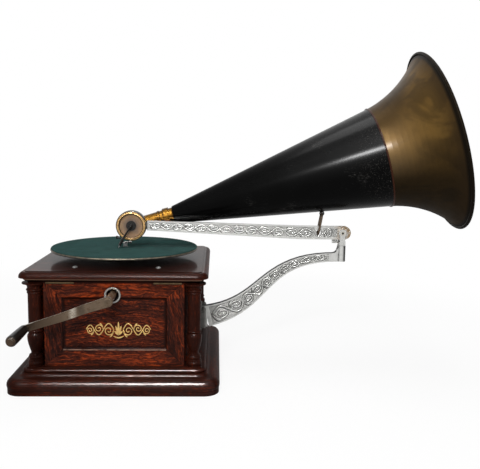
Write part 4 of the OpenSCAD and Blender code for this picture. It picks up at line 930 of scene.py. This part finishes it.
def scroll_paths(spans):
    """A running scroll: a wavy stem, a spiral in each of its bends and leaves in the corners.

    spans lists (start, end) along the field. A path holds (along, across, width); across is -1 to 1."""
    steps = 12
    paths = []
    stem = []
    for i, (start, end) in enumerate(spans):
        side = 1 if i % 2 == 0 else -1
        width = end - start
        for k in range(steps):
            stem.append((start + width * k / steps, side * 0.78 * math.sin(math.pi * k / steps), 1.0))
        paths.append(scroll_spiral((start + end) / 2, width, side))
        paths.append(scroll_leaf(start, width, side))
    stem.append((spans[-1][1], 0, 1.0))
    paths.append(stem)
    return paths


def even_spans(start, end, count, grow):
    """Splits a length into spans whose last is grow times as long as the first."""
    sizes = [1 + (grow - 1) * i / (count - 1) for i in range(count)]
    unit = (end - start) / sum(sizes)
    spans = []
    at = start
    for size in sizes:
        spans.append((at, at + size * unit))
        at += size * unit
    return spans


def raise_strokes(bm, paths, place, width, relief):
    """Builds each path as a rounded stroke; place(along, across) gives a point and its outward unit."""
    section = [(-1, 0), (-0.88, 0.72), (-0.6, 1), (0.6, 1), (0.88, 0.72), (1, 0)]
    for path in paths:
        rows = []
        points = [place(a, b) for a, b, _ in path]
        for i, (point, out) in enumerate(points):
            ahead = points[min(i + 1, len(points) - 1)][0] - points[max(i - 1, 0)][0]
            if ahead.length < 1e-7:
                continue
            side = ahead.normalized().cross(out).normalized()
            half = path[i][2] * width / 2
            rows.append([bm.verts.new(point + side * (half * u) + out * (relief * v)) for u, v in section])
        for first, second in zip(rows, rows[1:]):
            for k in range(len(section) - 1):
                bm.faces.new((first[k], first[k + 1], second[k + 1], second[k]))
            bm.faces.new((first[-1], first[0], second[0], second[-1]))
        for end in (rows[0], rows[-1]):
            bm.faces.new(end)


def dark_line(name):
    """Painted shade and dirt in the corners beside cast scrolls."""
    s = finish(name)
    shade_and_dirt = s.mottle(0.6, detail=4.0)
    return s.surface(base_color=s.mix(shade_and_dirt, tint(26, 26, 25), tint(84, 83, 80)), specular=0.1,
                     roughness=0.6 + shade_and_dirt * 0.2)


def cast_scrolls(casting, body, bright, settings, build):
    """Makes a casting's scrolls, and the dark lines beside them, with build(bm, stem, relief)."""
    new_piece(casting + "_scrolls", body, bright,
              lambda bm: build(bm, settings.stem, settings.relief))
    new_piece(casting + "_scroll_lines", body, dark_line(casting + "_lines"),
              lambda bm: build(bm, settings.stem + settings.line, settings.relief * 0.3))


def arm_line(x):
    """Height of the arm's middle line and its half height at x, in millimetres."""
    taper = max(0.0, (ARM_LEVEL - x) / (ARM_LEVEL - ARM_LEFT))
    return PIN_Z + ARM_RISE * taper, ARM_HALF_HEIGHT - ARM_NARROWING * taper


class GRAMOPHONE_OT_cast_arm_scrolls(bpy.types.Operator):
    """Raises the scrolls in the arm's sunk fields"""

    bl_idname = "gramophone.cast_arm_scrolls"
    bl_label = "Cast Arm Scrolls"

    def execute(self, context):
        settings = context.scene.gramophone.ornament
        bright = metal("scroll_nickel", tint(192, 192, 189), rough=0.5, spread=0.1, plate=0.4)
        margin = 2.7
        around = 40

        def build(bm, stem, relief):
            for side, start in ARM_FIELDS.items():
                count = settings.arm_scrolls if side < 0 else settings.arm_scrolls - 2
                out = Vector((0, side, 0))

                def in_field(along, across):
                    middle, half = arm_line(along)
                    floor = side * (ARM_HALF - ARM_SUNK)
                    return Vector((along, floor, middle + across * (half - margin))) * MM, out

                def round_hole(along, across):
                    angle = 2 * math.pi * along
                    return Vector((BAIL_X + BAIL_RING_R * math.cos(angle), side * (ARM_HALF - 0.1),
                                   BAIL_Z + BAIL_RING_R * math.sin(angle))) * MM, out

                for spans in (even_spans(start, ARM_FIELD_END, count, 1.3), [ARM_END_FIELD]):
                    raise_strokes(bm, scroll_paths(spans), in_field, stem, relief)
                ring = [(k / around, 0, 0.7) for k in range(around + 1)]
                raise_strokes(bm, [ring], round_hole, stem, relief)

        cast_scrolls("arm", "arm", bright, settings, build)
        return {"FINISHED"}


def bow(t):
    """Point, upward unit and half height of the bracket's curve, in millimetres."""
    weights = ((1 - t) ** 3, 3 * t * (1 - t) ** 2, 3 * t * t * (1 - t), t ** 3)
    slopes = (-3 * (1 - t) ** 2, 3 * (1 - t) ** 2 - 6 * t * (1 - t), 6 * t * (1 - t) - 3 * t * t, 3 * t * t)
    point = sum((w * p for w, p in zip(weights, BOW)), Vector((0, 0)))
    ahead = sum((w * p for w, p in zip(slopes, BOW)), Vector((0, 0))).normalized()
    return point, Vector((-ahead.y, ahead.x)), BOW_END_HEIGHT + BOW_GROWTH * (1 - t) ** 1.5


class GRAMOPHONE_OT_cast_bracket_scrolls(bpy.types.Operator):
    """Raises the scrolls in the bracket's sunk fields"""

    bl_idname = "gramophone.cast_bracket_scrolls"
    bl_label = "Cast Bracket Scrolls"

    def execute(self, context):
        settings = context.scene.gramophone.ornament
        bright = metal("bracket_scroll", tint(168, 168, 165), rough=0.5, spread=0.1, dull=0.7, plate=0.4)
        margin = 2.9
        paths = scroll_paths(even_spans(0.03, 0.95, settings.bracket_scrolls, 0.62))
        tapered = [[(a, b, w * (1.4 - 0.6 * a)) for a, b, w in path] for path in paths]

        def build(bm, stem, relief):
            for side in (-1, 1):
                def in_field(along, across):
                    point, up, half = bow(along)
                    spot = point + up * (across * (half - margin))
                    floor = side * (BRACKET_HALF - BRACKET_SUNK)
                    return Vector((spot.x, floor, spot.y)) * MM, Vector((0, side, 0))

                raise_strokes(bm, tapered, in_field, stem, relief)

        cast_scrolls("bracket", "case", bright, settings, build)
        return {"FINISHED"}


def gilt_paths():
    """A double scroll that runs out to both sides of a leaf on a small bow."""
    branch = scroll_paths([(0.14, 0.46), (0.46, 0.74), (0.74, 0.98)])
    steps = [k / 10 for k in range(11)]
    paths = [[(hand * a, b * (1 - 0.4 * a), w) for a, b, w in path] for hand in (-1, 1) for path in branch]
    for angle in (-64, -32, 0, 32, 64):
        lean = math.radians(angle)
        long = 1.5 - 0.5 * abs(math.sin(lean))
        paths.append([(0.13 * long * t * math.sin(lean), long * t * math.cos(lean) - 0.62,
                       0.3 + 1.9 * math.sin(math.pi * t) ** 0.8) for t in steps])
    paths.append([(0.16 * (t - 0.5) * 2, -0.72 - 0.2 * math.sin(math.pi * t), 0.5 + math.sin(math.pi * t))
                  for t in steps])
    return paths


def gilt_paint(settings):
    """Rubbed gold paint."""
    s = finish("gilt_paint")
    wear = s.mottle(0.5, detail=4.0, rough=0.7)
    colour = s.mix(wear.ease(0.5, 0.7) * 0.7, settings.gilt, tint(128, 86, 40))
    return s.surface(base_color=colour, roughness=0.4 + wear * 0.2, metallic=0.35, coat_weight=0.5)


class GRAMOPHONE_OT_gild_panel(bpy.types.Operator):
    """Paints a gilt double scroll on the front panel"""

    bl_idname = "gramophone.gild_panel"
    bl_label = "Gild Panel"

    def execute(self, context):
        settings = context.scene.gramophone.ornament
        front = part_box("front_panel")[0].y
        centre = Vector((GILT_X * MM, front, GILT_Z * MM))

        def place(along, across):
            spot = Vector((along * settings.gilt_width / 2, 0, across * settings.gilt_height / 2))
            return centre + spot, Vector((0, -1, 0))

        def build(bm):
            raise_strokes(bm, gilt_paths(), place, settings.gilt_stroke, settings.gilt_relief)

        new_piece("panel_gilding", "case", gilt_paint(settings), build)
        return {"FINISHED"}


def soft_lamp(name, spot, target, width, depth, watts, spread=180.0, matte=True):
    """An oblong lamp that looks from spot to target; without matte it only shows in gloss."""
    data = bpy.data.lights.new(name, "AREA")
    data.shape = "RECTANGLE"
    data.size = width
    data.size_y = depth
    data.energy = watts
    data.spread = math.radians(spread)
    lamp = add(name, data)
    lamp.location = spot
    lamp.visible_diffuse = matte
    lamp.rotation_euler = (Vector(target) - Vector(spot)).to_track_quat("-Z", "Y").to_euler()


def seen_rays(s):
    """1 for rays that show the background itself: from the camera, off a mirror or through glass."""
    camera, mirror, glass = [s.node("ShaderNodeLightPath", out=name) for name in
                             ("Is Camera Ray", "Is Glossy Ray", "Is Transmission Ray")]
    return camera.top(mirror).top(glass)


def lay_floor(settings):
    """A wide pale floor just below the base, white to the camera apart from the shadow."""
    reach = 12.0
    level = -0.2 * MM
    corners = [(x * reach, y * reach, level) for x, y in ((-1, -1), (1, -1), (1, 1), (-1, 1))]
    mesh = bpy.data.meshes.new("floor")
    mesh.from_pydata(corners, [], [(0, 1, 2, 3)])
    floor = add("floor", mesh)
    s = finish("floor_paper")
    seen = seen_rays(s)
    x, y, _ = s.place()
    far = (x * x + y * y).ease(350 ** 2, 1100 ** 2)
    matte = s.node("ShaderNodeBsdfDiffuse", {"Color": s.mix(seen, settings.floor[:], (1, 1, 1))})
    glow = s.node("ShaderNodeEmission", {"Color": (1, 1, 1), "Strength": 1.0})
    skin = s.node("ShaderNodeMixShader", {0: seen * (far * 0.12 + 0.88), 1: matte, 2: glow})
    s.node("ShaderNodeOutputMaterial", {"Surface": skin})
    mesh.materials.append(s.owner)


def light_room(settings, scene):
    """Soft lamps, and surroundings that look white but light the part only a little."""
    s = Shader(bpy.data.worlds.new("studio"))
    strength = seen_rays(s) * (1 - settings.ambient) + settings.ambient
    sky = s.node("ShaderNodeBackground", {"Color": (1, 1, 1), "Strength": strength})
    s.node("ShaderNodeOutputWorld", {"Surface": sky})
    scene.world = s.owner
    middle = (0.15, 0, 0.2)
    soft_lamp("key_lamp", (0.3, -1.6, 1.7), middle, 1.3, 0.35, settings.key)
    soft_lamp("front_lamp", (-0.2, -1.66, 0.97), (0.2, 0, 0.25), 0.22, 0.16, settings.front)
    soft_lamp("strip_lamp", (-0.06, -1.5, 1.75), (0.06, -0.17, 0.02), 0.55, 1.2, settings.strip,
              spread=18.0, matte=False)
    soft_lamp("top_lamp", (0.2, 0.1, 1.9), middle, 1.3, 0.8, settings.top)


def set_camera(settings, scene):
    """A camera at eye, turned by aim."""
    data = bpy.data.cameras.new("camera")
    data.lens = settings.lens
    data.sensor_width = 36
    camera = add("camera", data)
    yaw, pitch, roll = settings.aim
    level = Matrix.Rotation(-yaw, 4, "Z") @ Matrix.Rotation(math.pi / 2 - pitch, 4, "X")
    camera.matrix_world = Matrix.Translation(settings.eye) @ level @ Matrix.Rotation(roll, 4, "Z")
    scene.camera = camera


class GRAMOPHONE_OT_set_stage(bpy.types.Operator):
    """Sets the floor, the lamps and the camera"""

    bl_idname = "gramophone.set_stage"
    bl_label = "Set Stage"

    def execute(self, context):
        scene = context.scene
        settings = scene.gramophone.stage
        scene.view_settings.view_transform = "Standard"
        lay_floor(settings)
        light_room(settings, scene)
        set_camera(settings, scene)
        return {"FINISHED"}


STEPS = (
    GRAMOPHONE_OT_finish_wood,
    GRAMOPHONE_OT_finish_metal,
    GRAMOPHONE_OT_finish_horn,
    GRAMOPHONE_OT_finish_soundbox,
    GRAMOPHONE_OT_lay_felt,
    GRAMOPHONE_OT_cast_arm_scrolls,
    GRAMOPHONE_OT_cast_bracket_scrolls,
    GRAMOPHONE_OT_gild_panel,
    GRAMOPHONE_OT_set_stage,
)


class VIEW3D_PT_gramophone(bpy.types.Panel):
    """Lists the steps that dress the gramophone"""

    bl_idname = "VIEW3D_PT_gramophone"
    bl_label = "Gramophone"
    bl_space_type = "VIEW_3D"
    bl_region_type = "UI"
    bl_category = "Gramophone"

    def draw(self, context):
        for step in STEPS:
            self.layout.operator(step.bl_idname)


SETTINGS = (OakSettings, MetalSettings, FeltSettings, OrnamentSettings, StageSettings, GramophoneSettings)
CLASSES = SETTINGS + STEPS + (VIEW3D_PT_gramophone,)


def register():
    for cls in CLASSES:
        bpy.utils.register_class(cls)
    bpy.types.Scene.gramophone = PointerProperty(type=GramophoneSettings)


def unregister():
    del bpy.types.Scene.gramophone
    for cls in reversed(CLASSES):
        bpy.utils.unregister_class(cls)


def main():
    register()
    for step in STEPS:
        group, name = step.bl_idname.split(".")
        getattr(getattr(bpy.ops, group), name)()


if __name__ == "__main__":
    main()
